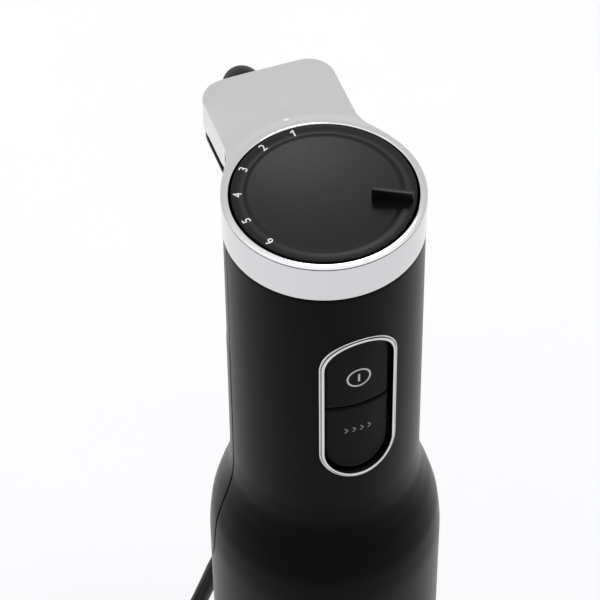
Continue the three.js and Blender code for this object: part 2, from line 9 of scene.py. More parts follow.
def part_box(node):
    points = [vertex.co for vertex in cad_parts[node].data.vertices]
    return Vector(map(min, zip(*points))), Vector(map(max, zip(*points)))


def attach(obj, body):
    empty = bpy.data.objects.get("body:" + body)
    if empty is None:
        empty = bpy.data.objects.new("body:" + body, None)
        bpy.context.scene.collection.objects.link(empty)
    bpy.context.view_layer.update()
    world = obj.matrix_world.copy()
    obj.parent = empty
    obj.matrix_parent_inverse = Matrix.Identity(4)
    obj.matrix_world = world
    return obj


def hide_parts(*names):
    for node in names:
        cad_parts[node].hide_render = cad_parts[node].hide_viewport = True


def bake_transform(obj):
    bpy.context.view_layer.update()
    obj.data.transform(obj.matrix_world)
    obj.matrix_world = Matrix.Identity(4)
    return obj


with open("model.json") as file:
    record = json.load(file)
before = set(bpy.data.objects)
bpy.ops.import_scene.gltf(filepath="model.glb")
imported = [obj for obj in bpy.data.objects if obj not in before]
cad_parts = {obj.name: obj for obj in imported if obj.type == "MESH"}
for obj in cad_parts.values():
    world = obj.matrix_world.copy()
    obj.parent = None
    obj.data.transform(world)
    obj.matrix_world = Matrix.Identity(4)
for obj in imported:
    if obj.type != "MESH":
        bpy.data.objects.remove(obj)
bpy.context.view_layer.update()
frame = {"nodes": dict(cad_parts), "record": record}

# Shapes are written in millimetres about the body's own axis, and metres() puts them in the frame.
MM = 0.001
TUBE_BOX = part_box("shaft_tube")
AXIS = (TUBE_BOX[0] + TUBE_BOX[1]) / 2
RING_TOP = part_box("head_trim")[1].z / MM
BAND_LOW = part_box("head_trim")[0].z / MM
HOUSING_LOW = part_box("front_shell")[0].z / MM
SHELL_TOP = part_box("front_shell")[1].z / MM
DIAL_TOP = RING_TOP + 0.3

RING_R = 28
RIM_R = 26.35
OPENING_R = 25.8
DIAL_R = 25.3
TONGUE_HALF = 19.35
TONGUE_ASIDE = 0.3  # how far right of the middle the tongue stands
TONGUE_REAR = 52.8
TONGUE_CORNER = 7.5
TONGUE_TOP = RING_TOP - 2
SEAM_Y = 1.5
SEAM_BEND = [(SEAM_Y, 258), (3, 236), (36.5, 226)]  # (y, z): where the seam leaves the side and turns back
WALL = 2.2
HALF_GAP = 0.15
BEZEL_R = 28.5
BUTTON_R = 26.5
BUTTON_MID = 338.5
BUTTON_HALF_W = 9.5
ARC_RISE = 17.95  # from the panel's middle up to the middle of its upper arc; the lower one mirrors it
BUTTON_ARC = BUTTON_MID + ARC_RISE
PAD_MID = 203
CORD_R = 3
RELIEF_LONG = 52


def metres(p):
    return (p[0] * MM + AXIS.x, p[1] * MM + AXIS.y, p[2] * MM)


# ---- Numbers and outlines
def steps(low, high, count):
    """count + 1 evenly spaced numbers from low to high."""
    return [low + (high - low) * i / count for i in range(count + 1)]


def ease(value, low, high):
    """0 below low, 1 above high, and smooth between."""
    t = min(1, max(0, (value - low) / (high - low)))
    return t * t * (3 - 2 * t)


def soft_max(a, b, width):
    return (a + b + sqrt((a - b) ** 2 + width**2)) / 2


def fillet(a, b, width):
    """The larger of two numbers, raised by up to width / 4 where they are closer than width."""
    near = max(0, 1 - abs(a - b) / width)
    return max(a, b) + near * near * width / 4


def through(knots):
    """A smooth function through (place, value) knots that never overshoots them."""
    xs, ys = zip(*knots)
    widths = [b - a for a, b in zip(xs, xs[1:])]
    slopes = [(b - a) / w for a, b, w in zip(ys, ys[1:], widths)]
    tangents = [slopes[0]]
    for left, right in zip(slopes, slopes[1:]):
        tangents.append(0 if left * right <= 0 else 2 * left * right / (left + right))
    tangents.append(slopes[-1])

    def value(x):
        x = min(max(x, xs[0]), xs[-1])
        i = max(k for k in range(len(widths)) if xs[k] <= x)
        t = (x - xs[i]) / widths[i]
        a, b = tangents[i] * widths[i], tangents[i + 1] * widths[i]
        rise = ys[i + 1] - ys[i]
        return ys[i] + t * (a + t * (3 * rise - 2 * a - b + t * (a + b - 2 * rise)))

    return value


def soften(outline, radius, bends=5):
    """A closed outline with each corner off the axis turned into a short curve."""
    soft = []
    count = len(outline)
    for i, corner in enumerate(outline):
        before, after = Vector(outline[i - 1]), Vector(outline[(i + 1) % count])
        corner = Vector(corner)
        if corner.x < 1e-6:
            soft.append(tuple(corner))
            continue
        back, on = before - corner, after - corner
        start = corner + back.normalized() * min(radius, 0.45 * back.length)
        end = corner + on.normalized() * min(radius, 0.45 * on.length)
        for t in steps(0, 1, bends):
            soft.append(tuple(start * (1 - t) ** 2 + corner * 2 * t * (1 - t) + end * t * t))
    return soft


def rounded_rect(half_x, half_y, corner, bends=8):
    points = []
    for quarter, (sx, sy) in enumerate([(1, 1), (-1, 1), (-1, -1), (1, -1)]):
        for turn in steps(quarter * pi / 2, (quarter + 1) * pi / 2, bends):
            x = sx * (half_x - corner) + corner * cos(turn)
            points.append((x, sy * (half_y - corner) + corner * sin(turn)))
    return points


def hexagon(radius):
    return [(radius * cos(k * pi / 3), radius * sin(k * pi / 3)) for k in range(6)]


def plan_radius(angle, half, rear, corner):
    """Distance from the axis to a rounded oblong that reaches rear, at an angle from the rear."""
    s, c = max(abs(sin(angle)), 1e-9), cos(angle)
    if c <= 0 or half / s * c <= rear - corner:
        return half / s
    if rear / c * s <= half - corner:
        return rear / c
    across, on = half - corner, rear - corner
    reach = s * across + c * on
    return reach + sqrt(reach**2 - across**2 - on**2 + corner**2)


# ---- Meshes
def linked(name, data):
    """A new object in the scene."""
    obj = bpy.data.objects.new(name, data)
    bpy.context.scene.collection.objects.link(obj)
    return obj


def caps(columns, rows=2):
    """The two end faces of a tube of points listed row by row."""
    last = (rows - 1) * columns
    return [tuple(range(columns)), tuple(range(last, last + columns))]


def quads(rows, columns, wrap_rows=False, wrap_columns=False):
    """Faces between neighbours, for points listed row by row."""
    faces = []
    for i in range(rows if wrap_rows else rows - 1):
        for j in range(columns if wrap_columns else columns - 1):
            below, above = i * columns, (i + 1) % rows * columns
            right = (j + 1) % columns
            faces.append((below + j, below + right, above + right, above + j))
    return faces


def tube(columns, rows=2):
    """The faces of a tube with closed ends, for points listed row by row."""
    return quads(rows, columns, False, True) + caps(columns, rows)


def settle(obj, sharp=38):
    """Joins doubled points, turns the faces outwards and shades the mesh smooth but for real edges."""
    work = bmesh.new()
    work.from_mesh(obj.data)
    bmesh.ops.remove_doubles(work, verts=work.verts, dist=2e-6)
    bmesh.ops.dissolve_degenerate(work, edges=work.edges, dist=1e-7)
    bmesh.ops.recalc_face_normals(work, faces=work.faces)
    work.to_mesh(obj.data)
    work.free()
    obj.data.shade_smooth()
    obj.data.set_sharp_from_angle(angle=radians(sharp))
    return obj


def shape(name, points, faces, sharp=38):
    mesh = bpy.data.meshes.new(name)
    mesh.from_pydata([metres(p) for p in points], [], faces)
    return settle(linked(name, mesh), sharp)


def applied(obj, kind, sharp=38, **settings):
    """Adds a modifier with these settings and applies it."""
    modifier = obj.modifiers.new(kind, kind)
    for key, value in settings.items():
        setattr(modifier, key, value)
    evaluated = obj.evaluated_get(bpy.context.evaluated_depsgraph_get())
    mesh = bpy.data.meshes.new_from_object(evaluated)
    obj.modifiers.clear()
    obj.data = mesh
    return settle(obj, sharp)


def joined(name, objects, sharp=38):
    """One object with the meshes of all of them."""
    work = bmesh.new()
    for obj in objects:
        work.from_mesh(obj.data)
        bpy.data.objects.remove(obj)
    mesh = bpy.data.meshes.new(name)
    work.to_mesh(mesh)
    work.free()
    return settle(linked(name, mesh), sharp)


def carved(obj, cutters, sharp=38):
    cutter = joined("cutter", cutters)
    result = applied(obj, "BOOLEAN", sharp, operation="DIFFERENCE", solver="EXACT", object=cutter)
    bpy.data.objects.remove(cutter)
    return result


def lathe(name, outline, sides, middle=(0, 0, 0), along="z"):
    """A closed (radius, height) outline turned about a line through middle."""
    points = []
    for i in range(sides):
        turn = 2 * pi * i / sides
        for radius, height in outline:
            u, v = radius * cos(turn), radius * sin(turn)
            local = {"z": (u, v, height), "x": (height, u, v), "y": (u, height, v)}[along]
            points.append([a + b for a, b in zip(local, middle)])
    return shape(name, points, quads(sides, len(outline), True, True))


def prism(name, outline, low, high, along="z"):
    """An outline pushed along an axis; outline is (x, y), (y, z) or (x, z)."""
    points = []
    for level in (low, high):
        for a, b in outline:
            points.append({"z": (a, b, level), "x": (level, a, b), "y": (a, level, b)}[along])
    return shape(name, points, tube(len(outline)))


def bevelled(obj, width, segments=3):
    edges = {"limit_method": "ANGLE", "angle_limit": radians(30)}
    return applied(obj, "BEVEL", width=width * MM, segments=segments, **edges)


def curve_through(knots, per_knot):
    """Points of a centripetal Catmull-Rom curve through the knots."""
    knots = [Vector(k) for k in knots]
    ends = [2 * knots[0] - knots[1], *knots, 2 * knots[-1] - knots[-2]]
    points = []
    for a, b, c, d in zip(ends, ends[1:], ends[2:], ends[3:]):
        ta = sqrt((b - a).length)
        tb = ta + sqrt((c - b).length)
        tc = tb + sqrt((d - c).length)
        for i in range(per_knot):
            t = ta + (tb - ta) * i / per_knot
            one = a.lerp(b, t / ta)
            two = b.lerp(c, (t - ta) / (tb - ta))
            three = c.lerp(d, (t - tb) / (tc - tb))
            early = one.lerp(two, t / tb)
            late = two.lerp(three, (t - ta) / (tc - ta))
            points.append(early.lerp(late, (t - ta) / (tb - ta)))
    return [*points, knots[-1]]


def evenly(points, spacing):
    """Points at even distances along a line of points, and its length."""
    lengths = [0]
    for a, b in zip(points, points[1:]):
        lengths.append(lengths[-1] + (b - a).length)
    count = round(lengths[-1] / spacing)
    even, i = [], 0
    for want in steps(0, lengths[-1], count):
        while i < len(points) - 2 and lengths[i + 1] < want:
            i += 1
        share = (want - lengths[i]) / max(lengths[i + 1] - lengths[i], 1e-9)
        even.append(points[i].lerp(points[i + 1], min(1, share)))
    return even, lengths[-1]


def sweep(name, path, radius_at, sides):
    """A tube round the points of path; radius_at gives its radius from a point's number."""
    last = len(path) - 1
    points = []
    side = Vector((1, 0, 0))
    for i, middle in enumerate(path):
        on = (path[min(i + 1, last)] - path[max(i - 1, 0)]).normalized()
        side = (side - on * side.dot(on)).normalized()
        up = on.cross(side)
        for j in range(sides):
            turn = 2 * pi * j / sides
            points.append(middle + (side * cos(turn) + up * sin(turn)) * radius_at(i))
    return shape(name, points, tube(sides, len(path)))


# ---- Camera, floor and light
CAMERA_AT = Vector((-0.202475, -0.556296 + AXIS.y, 1.026212))
CAMERA_ON = Vector((0.219007, 0.623918, -0.750175)).normalized()
CAMERA_UP = Vector((0.259071, 0.704184, 0.661065))


def add_camera():
    """A long lens in front, a little to the left and well above the head."""
    camera = linked("camera", bpy.data.cameras.new("camera"))
    camera.data.lens = 192
    camera.data.sensor_width = 36
    right = CAMERA_ON.cross(CAMERA_UP).normalized()
    camera.matrix_world = Matrix((right, right.cross(CAMERA_ON), -CAMERA_ON)).transposed().to_4x4()
    camera.location = CAMERA_AT
    bpy.context.scene.camera = camera


def add_light(name, at, towards, size, power, glossy=False):
    """A square panel of light; only a glossy one is mirrored in the object."""
    lamp = bpy.data.lights.new(name, "AREA")
    lamp.shape = "RECTANGLE"
    lamp.size = size
    lamp.size_y = size
    lamp.energy = power
    light = linked(name, lamp)
    light.location = at
    light.visible_glossy = glossy
    light.rotation_mode = "QUATERNION"
    light.rotation_quaternion = (Vector(towards) - Vector(at)).to_track_quat("-Z", "Y")


def add_world():
    """A white studio with a wide soft light overhead."""
    world = bpy.data.worlds.new("studio")
    bpy.context.scene.world = world
    world.use_nodes = True
    nodes, link = world.node_tree.nodes, world.node_tree.links.new
    place = nodes.new("ShaderNodeTexCoord")
    split = nodes.new("ShaderNodeSeparateXYZ")
    height = nodes.new("ShaderNodeValToRGB")
    link(place.outputs["Generated"], split.inputs[0])
    link(split.outputs["Z"], height.inputs[0])
    ramp = height.color_ramp
    ramp.elements[0].color = (0.9, 0.9, 0.9, 1)
    ramp.elements[1].color = (1.3, 1.34, 1.46, 1)
    for level, grey in ((0.3, 0.86), (0.72, 0.85), (0.8, 1.1), (0.9, 1.45)):
        ramp.elements.new(level).color = (grey, grey, grey * 1.01, 1)
    link(height.outputs["Color"], nodes["Background"].inputs["Color"])
    nodes["Background"].inputs["Strength"].default_value = 1.0


def add_stage(look):
    half, thick = 4000, 20
    floor = prism("floor", rounded_rect(half, half, 500), -thick, -0.02)
    floor.data.materials.append(look)


# ---- Materials
def new_node(nodes, kind, **inputs):
    """A shader node with values for some of its inputs."""
    node = nodes.new(kind)
    for name, value in inputs.items():
        node.inputs[name.replace("_", " ")].default_value = value
    return node


def ramp(nodes, link, source, low, high):
    """A colour ramp from low to high, over the middle of the source's range."""
    node = nodes.new("ShaderNodeValToRGB")
    for stop, place, colour in zip(node.color_ramp.elements, (0.32, 0.68), (low, high)):
        stop.position = place
        stop.color = (*colour, 1)
    link(source, node.inputs[0])
    return node.outputs["Color"]


def noise(nodes, link, place, scale, stretch, detail=4):
    """Noise over the piece's own coordinates, in features per metre."""
    middle = [-a * s for a, s in zip((AXIS.x, AXIS.y, 0), stretch)]
    mapping = new_node(nodes, "ShaderNodeMapping", Location=middle, Scale=stretch)
    texture = new_node(nodes, "ShaderNodeTexNoise", Scale=scale, Detail=detail)
    link(place, mapping.inputs["Vector"])
    link(mapping.outputs["Vector"], texture.inputs["Vector"])
    return texture.outputs["Fac"]


def look(
    name, colour, rough, metal=0.0, specular=0.5, vary=0.12, blotch=45, grain=2200, bump=0.05,
    stretch=(1, 1, 1), rough_spread=0.06, coat=0.0, sheen=0.0, pattern=None,
):
    """A procedural material: colour and roughness drift over the piece, and a fine grain lies on it.
    blotch and grain are features per metre and bump is the grain's depth in millimetres.
    pattern is a function that returns a 0 to 1 mask of a second colour, and that colour."""
    material = bpy.data.materials.new(name)
    material.use_nodes = True
    nodes, link = material.node_tree.nodes, material.node_tree.links.new
    shader = nodes["Principled BSDF"]
    plain = {"Metallic": metal, "Specular IOR Level": specular, "Coat Weight": coat, "Sheen Weight": sheen}
    for socket, value in {**plain, "Sheen Roughness": 0.3}.items():
        shader.inputs[socket].default_value = value
    place = nodes.new("ShaderNodeTexCoord").outputs["Object"]
    drift = noise(nodes, link, place, blotch, stretch)
    fine = noise(nodes, link, place, grain, stretch, 2)
    tint = ramp(nodes, link, drift, [c * (1 - vary) for c in colour], [c * (1 + vary) for c in colour])
    low, high = max(0, rough - rough_spread), rough + rough_spread
    spread = new_node(nodes, "ShaderNodeMapRange", To_Min=low, To_Max=high)
    link(fine, spread.inputs["Value"])
    link(spread.outputs["Result"], shader.inputs["Roughness"])
    relief = new_node(nodes, "ShaderNodeBump", Strength=1, Distance=bump * MM)
    link(fine, relief.inputs["Height"])
    if pattern:
        mask, second = pattern(nodes, link, place)
        mix = nodes.new("ShaderNodeMix")
        mix.data_type = "RGBA"
        link(mask, mix.inputs["Factor"])
        link(tint, mix.inputs["A"])
        mix.inputs["B"].default_value = (*second, 1)
        tint = mix.outputs["Result"]
        groove = new_node(nodes, "ShaderNodeBump", Distance=0.1 * MM)
        groove.invert = True
        link(mask, groove.inputs["Height"])
        link(relief.outputs["Normal"], groove.inputs["Normal"])
        relief = groove
    link(tint, shader.inputs["Base Color"])
    link(relief.outputs["Normal"], shader.inputs["Normal"])
    return material


def between(nodes, link, source, dark, bright):
    """0 where source is at dark, 1 where it is at bright, and in proportion between."""
    edge = new_node(nodes, "ShaderNodeMapRange", From_Min=dark, From_Max=bright)
    link(source, edge.inputs["Value"])
    return edge.outputs["Result"]


def lines(second, pitch):
    """A pattern of thin level lines of a second colour, pitch apart in millimetres."""

    def pattern(nodes, link, place):
        wave = new_node(nodes, "ShaderNodeTexWave", Scale=pi / (10 * pitch * MM), Distortion=0)
        wave.wave_type = "BANDS"
        wave.bands_direction = "Z"
        link(place, wave.inputs["Vector"])
        return between(nodes, link, wave.outputs["Fac"], 0.8, 1), second

    return pattern


def spokes(second, count):
    """Thin lines of a second colour that run out from the body's axis."""

    def pattern(nodes, link, place):
        mapping = new_node(nodes, "ShaderNodeMapping", Location=(-AXIS.x, -AXIS.y, 0))
        link(place, mapping.inputs["Vector"])
        round_axis = nodes.new("ShaderNodeTexGradient")
        round_axis.gradient_type = "RADIAL"
        link(mapping.outputs["Vector"], round_axis.inputs["Vector"])
        turn = nodes.new("ShaderNodeMath")
        turn.operation = "PINGPONG"
        turn.inputs[1].default_value = 0.5 / count
        link(round_axis.outputs["Fac"], turn.inputs[0])
        return between(nodes, link, turn.outputs["Value"], 0.06 / count, 0.04 / count), second

    return pattern


def tracks(second):
    """The lines between irregular cells, like copper under a board's lacquer."""

    def pattern(nodes, link, place):
        cells = new_node(nodes, "ShaderNodeTexVoronoi", Scale=260)
        cells.feature = "DISTANCE_TO_EDGE"
        link(place, cells.inputs["Vector"])
        return between(nodes, link, cells.outputs["Distance"], 0.12, 0.08), second

    return pattern


TURNED = (0.4, 0.4, 60)  # grain that runs round an upright axis

LOOKS = {
    "chrome": look(
        "chrome", (0.66, 0.66, 0.665), 0.08, 1, vary=0.015, blotch=12, grain=50, bump=0.0008,
        stretch=(3, 3, 0.4), rough_spread=0.02,
    ),
    "steel": look(
        "brushed steel", (0.62, 0.62, 0.63), 0.27, 1, vary=0.03, grain=90, bump=0.003, stretch=TURNED
    ),
    "brass": look("brass", (0.76, 0.58, 0.26), 0.25, 1, vary=0.08, bump=0.004, stretch=TURNED, grain=80),
    "copper": look("copper wire", (0.62, 0.27, 0.11), 0.32, 0.9, pattern=lines((0.16, 0.05, 0.02), 0.55)),
    "aluminium": look("cast aluminium", (0.60, 0.61, 0.62), 0.42, 1, vary=0.08, grain=1500, bump=0.05),
    "iron": look("laminations", (0.34, 0.35, 0.36), 0.45, 0.9, pattern=lines((0.06, 0.06, 0.065), 0.5)),
    "soft_touch": look(
        "soft touch", (0.0009, 0.0009, 0.0011), 0.42, specular=0.036, sheen=0.31, vary=0.15,
        grain=3200, bump=0.012,
    ),
    "satin_black": look(
        "satin black", (0.0022, 0.0022, 0.0025), 0.32, specular=0.05, grain=2600, bump=0.008
    ),
    "inner_plastic": look("inner plastic", (0.03, 0.03, 0.033), 0.5, grain=1400, bump=0.03),
    "nylon": look("nylon", (0.72, 0.69, 0.61), 0.42, vary=0.06, blotch=90, grain=1200, bump=0.02),
    "rubber": look(
        "cord rubber", (0.0035, 0.0035, 0.0037), 0.45, specular=0.07, vary=0.2, grain=2400, bump=0.03
    ),
    "carbon": look("pressed carbon", (0.035, 0.035, 0.04), 0.55, grain=2600, bump=0.05, vary=0.3),
    "board": look("board", (0.03, 0.16, 0.06), 0.3, coat=0.3, pattern=tracks((0.10, 0.30, 0.10))),
    "capacitor": look("capacitor case", (0.62, 0.46, 0.05), 0.35, grain=900, bump=0.02),
    "component": look("component case", (0.02, 0.02, 0.022), 0.4, grain=1800, bump=0.03),
}
# Looks of pieces that share a record material with others but differ from them a little.
EXTRA = {
    "dial": look(
        "dial plastic", (0.003, 0.003, 0.0036), 0.3, specular=0.2, vary=0.1, grain=2600, bump=0.001
    ),
    "fin": look(
        "fin plastic", (0.0025, 0.0025, 0.0028), 0.3, specular=0.3, vary=0.1, grain=2600, bump=0.004
    ),
    "ink": look("printed ink", (0.70, 0.71, 0.74), 0.5, vary=0.05, grain=4000, bump=0.006),
    "grey_ink": look("grey ink", (0.40, 0.40, 0.41), 0.5, vary=0.05, grain=4000, bump=0.006),
    "dim_ink": look("dim ink", (0.16, 0.16, 0.165), 0.5, vary=0.05, grain=4000, bump=0.006),
    "bars": look("commutator bars", (0.60, 0.29, 0.13), 0.24, 1, pattern=spokes((0.03, 0.02, 0.02), 24)),
    "spring": look("spring wire", (0.50, 0.51, 0.53), 0.22, 1, grain=700, bump=0.004),
    "zinc": look("zinc plate", (0.58, 0.59, 0.62), 0.24, 1, vary=0.1, blotch=300, grain=900, bump=0.006),
    "nickel": look(
        "nickel plate", (0.70, 0.67, 0.61), 0.18, 1, vary=0.05, grain=60, bump=0.003, stretch=(0.6, 30, 30)
    ),
    "ground": look(
        "ground edge", (0.68, 0.68, 0.69), 0.2, 1, vary=0.05, grain=60, bump=0.006, stretch=(30, 1, 30)
    ),
    "collar": look(
        "collar plastic", (0.005, 0.005, 0.0055), 0.36, specular=0.16, grain=2000, bump=0.012
    ),
    "tie": look("woven tie", (0.02, 0.02, 0.022), 0.75, pattern=lines((0.004, 0.004, 0.004), 0.35)),
    "floor": look("floor", (0.86, 0.86, 0.86), 0.7, specular=0.1, vary=0.006, blotch=8, grain=300, bump=0.02),
}
SPRINGS = ("power_button_spring", "turbo_button_spring", "release_spring_left", "release_spring_right")
CAD_EXTRA = {"commutator": "bars", "motor_shaft": "ground", **{name: "spring" for name in SPRINGS}}


def placed(obj, body, slot, stands_for=(), dress=None):
    """Gives a finished piece its material and its CAD body."""
    obj.data.materials.clear()
    obj.data.materials.append(EXTRA[dress] if dress else LOOKS[slot])
    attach(obj, body)
    if stands_for:
        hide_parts(*stands_for)
    return obj


def dress_cad_nodes():
    """Gives each CAD node its procedural material."""
    for part in frame["record"]["subparts"]:
        name = part["node"]
        material = EXTRA[CAD_EXTRA[name]] if name in CAD_EXTRA else LOOKS[part["material_slot"]]
        node = frame["nodes"][name]
        if not node.material_slots:
            node.data.materials.append(material)
        for slot in node.material_slots:
            slot.material = material


# ---- Cord
RUN_ROUTE = [
    (0, 42, 379), (0, 54, 379), (0, 60.9, 378.1), (0.3, 67.3, 375.4), (0.9, 72.7, 371.2), (1.7, 76.9, 365.6),
    (2.8, 79.8, 358.4), (3.9, 81.6, 349), (5.5, 84, 322), (6, 85.5, 285), (5.8, 86.2, 250), (4.7, 87, 210),
    (2.4, 88.8, 172), (-0.2, 92.2, 140), (-2.4, 97.5, 118), (-4.6, 103.5, 100), (-6.4, 109.5, 82.1),
    (-8.5, 116.1, 62.8), (-11, 122.6, 44), (-13.9, 128.9, 32.5), (-17.4, 134.8, 25.3), (-22.7, 141.4, 19.7),
    (-29.9, 147.1, 15.7),
]
TAIL_ROUTE = [
    (-86.2, 94, 5.4), (-85.9, 84.5, 8), (-83.2, 74.4, 11.6), (-77.4, 66.2, 15), (-71.2, 61.7, 16.9),
    (-64.6, 59, 18), (-57.2, 58, 18.5),
]
COIL_MID = (-50, 117)
COIL_OUT = 36
COIL_IN = 26
COIL_TURNS = 1.64  # in each of the two layers
COIL_ENTRY = 82  # degrees from +X, where the cord meets the upper layer
PLUG_AT = Vector((-56.7, 58, 18.5))


def coil_route():
    """In along the upper layer from the outside, down at the middle, and out along the lower one."""
    route = []
    last = COIL_ENTRY + 720 * COIL_TURNS
    for angle in range(COIL_ENTRY + 2, round(last) - 4, 12):
        turned = (angle - COIL_ENTRY) / 360
        inwards = turned / COIL_TURNS
        radius = COIL_OUT - (COIL_OUT - COIL_IN) * (inwards if inwards < 1 else 2 - inwards)
        upper = 1 - ease(turned, COIL_TURNS - 0.14, COIL_TURNS + 0.14)
        lift = 3.6 * (1 - ease(turned, 0, 0.16))
        height = CORD_R + 0.1 + 2 * CORD_R * upper + lift
        turn = radians(angle)
        route.append((COIL_MID[0] + radius * cos(turn), COIL_MID[1] + radius * sin(turn), height))
    return [*route, (COIL_MID[0] - COIL_OUT - 0.2, 108, 3.2)]


def add_cord():
    """The cord from inside the end of its relief to the plug, with its plug, pins, tie and relief."""
    whole = curve_through([*RUN_ROUTE, *coil_route(), *TAIL_ROUTE], 12)
    path, length = evenly(whole, 1.5)
    spacing = length / (len(path) - 1)
    hidden = round((RELIEF_LONG - 6) / spacing)  # points inside the relief, where no cord is made
    relief_path = path[: round(RELIEF_LONG / spacing) + 1]
    path = path[hidden:]
    cord = sweep("cord", path, lambda i: CORD_R, 24)
    cord.data.materials.append(LOOKS["rubber"])
    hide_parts("cord_run", "cord_coil", "cord_tail")
    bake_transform(cord)
    plug = add_plug()
    tie = add_tie()
    add_pins()
    add_relief(relief_path)


def add_relief(path):
    """A tapered sleeve with a collar at the housing and grooves that let it bend."""
    fine, length = evenly(path, 0.25)
    taper = through([
        (0, 4.1), (10.9, 4.1), (11.3, 5.3), (12.2, 5.7), (31, 5.7), (33, 5.5), (43, 4.8), (RELIEF_LONG, 4.1),
    ])
    rounding = 1.2
    first, last, pitch = 34.5, 48.5, 2.8

    def radius(i):
        along = length * i / (len(fine) - 1)
        past = along - length + rounding
        if past > 0:
            return taper(along) - 0.9 * (1 - sqrt(max(0, 1 - (past / rounding) ** 2)))
        if not first < along < last:
            return taper(along)
        ridge = ease(abs((along - first) % pitch - pitch / 2), 0.45, 0.75)
        return taper(along) - 0.8 * (1 - ridge)

    placed(sweep("cord_relief", fine, radius, 40), "motor_unit", "rubber", ["strain_relief"])


def add_plug():
    """A round moulded plug: a ribbed neck, a widening body and a grooved grip, along +X from the neck."""
    body = [(0, 0), (3.6, 0), (4.2, 0.6)]
    for ring in range(5):
        base = 1.4 + 2.6 * ring
        grown = 4.2 + 0.28 * ring
        body += [(grown, base), (grown + 0.15, base + 1.3)]
        body += [(grown - 0.6, base + 1.6), (grown - 0.6, base + 2.3)]
    body += [(5.6, 15.4), (7, 17.6), (11, 20.8), (16.5, 25), (18.1, 28.5), (18.3, 31)]
    for ring in range(4):
        base = 32 + 3 * ring
        body += [(18.3, base), (17.6, base + 0.5), (17.6, base + 1.3), (18.3, base + 1.8)]
    body += [(18.3, 47), (18.1, 48.6), (17, 49.7), (16, 50), (0, 50)]
    plug = lathe("plug", soften(body, 0.45, 3), 96, PLUG_AT, "x")
    return placed(plug, "blending_foot", "rubber", ["plug_body"])


def add_pins():
    """The plug's two round pins."""
    outline = [(0, 49.6), (2.4, 49.6), (2.4, 66.8), (2.2, 67.9), (1.5, 68.7), (0, 69)]
    pins = []
    for side, across in (("left", -9.5), ("right", 9.5)):
        pin = lathe(f"pin_{side}", soften(outline, 0.4, 3), 40, PLUG_AT + Vector((0, across, 0)), "x")
        pins.append(placed(pin, "blending_foot", "brass", [f"plug_pin_{side}"], "nickel"))
    return pins


def add_tie():
    """A flat woven strap round all the turns, on the side of the coil nearest the plug."""
    turn = radians(250)
    wide, thickness = 8, 0.7
    out = Vector((cos(turn), sin(turn), 0))
    along = Vector((-sin(turn), cos(turn), 0))
    middle = Vector((*COIL_MID, 6.3)) + out * (COIL_OUT + COIL_IN) / 2
    loop = rounded_rect(8.9, 6.25, 3.4, 10)
    points = []
    for edge, thick in ((-wide, 0), (wide, 0), (wide, thickness), (-wide, thickness)):
        for u, v in loop:
            grown = 1 + thick / hypot(u, v)
            above = Vector((0, 0, max(v * grown, -6.2)))
            points.append(middle + out * u * grown + above + along * edge / 2)
    strap = shape("coil_tie", points, quads(4, len(loop), True, True))
    return placed(bevelled(strap, 0.15, 2), "blending_foot", "rubber", dress="tie")


# ---- Housing
housing_radius = through([
    (HOUSING_LOW, 31.2), (193, 33.2), (199, 34.2), (208, 34.6), (240, 34.75), (254, 34.8),
    (265, 34), (273.5, 32), (281, 29.7), (288, 28.2), (296, 27.8), (390, 27.8),
])
# The bracket that carries the tongue: half its width, and how far back it reaches, by height.
bracket_half = through([(340, 8.5), (370, 8.5), (376.5, 12), (382, 17.4), (384.4, 19.3), (390, 19.35)])
bracket_rear = through([(340, 25.4), (343, 27.4), (349, 32.4), (356, 38), (366, 47), (372.5, 52), (390, 52)])


def edge_drop(distance, depth=0.3, width=0.45):
    """How far a surface falls away at a rounded edge, by the distance from that edge."""
    return depth * max(0, 1 - distance / width) ** 2


def seam_angle(height, shift):
    """Angle from the rear at which the upright seam meets the housing."""
    return acos((SEAM_Y + shift) / housing_radius(height))


def seam_low(share, shift):
    """Height and steepness of the seam on the column at this share of the way round from the rear."""
    (ya, za), (yb, zb), (yc, zc) = SEAM_BEND
    low, high = 0.0, 1.0
    for _ in range(40):
        t = (low + high) / 2
        y = ya * (1 - t) ** 2 + 2 * yb * t * (1 - t) + yc * t * t + shift
        z = za * (1 - t) ** 2 + 2 * zb * t * (1 - t) + zc * t * t + shift
        reach = housing_radius(z) * cos(share * seam_angle(z, shift))
        low, high = (t, high) if y < reach else (low, t)
    dy = 2 * (yb - ya) * (1 - t) + 2 * (yc - yb) * t
    dz = 2 * (zb - za) * (1 - t) + 2 * (zc - zb) * t
    radius = housing_radius(z)
    across = sqrt(max(0, radius**2 - y * y)) / radius
    return z, hypot(1, dz / dy * across)


EDGE_OFFSETS = [0, 0.08, 0.18, 0.3, 0.46]  # how far from an edge the rows that round it lie
FAR = 9  # any distance from an edge at which it no longer drops
BACK_ARC = 50  # about the way round the back, from its middle to a seam
FRONT_ARC = 88  # about the way round the front, from seam to seam
SEAM_SIDE = SEAM_BEND[0][1]  # height at which the seam starts to turn back
BRACKET_LOW = 340  # height at which the bracket starts to stand out of the back


def back_shares():
    """Where the columns of the back half stand: 1 at the right seam, 0 at the rear, -1 at the left."""
    right = [1 - offset / BACK_ARC for offset in EDGE_OFFSETS]
    right += [1 - t for t in (0.016, 0.026, 0.04, 0.058, 0.08, 0.105, 0.13, 0.16)]
    right += steps(0.81, 0.02, 46)
    return right + [0] + [-share for share in reversed(right)]


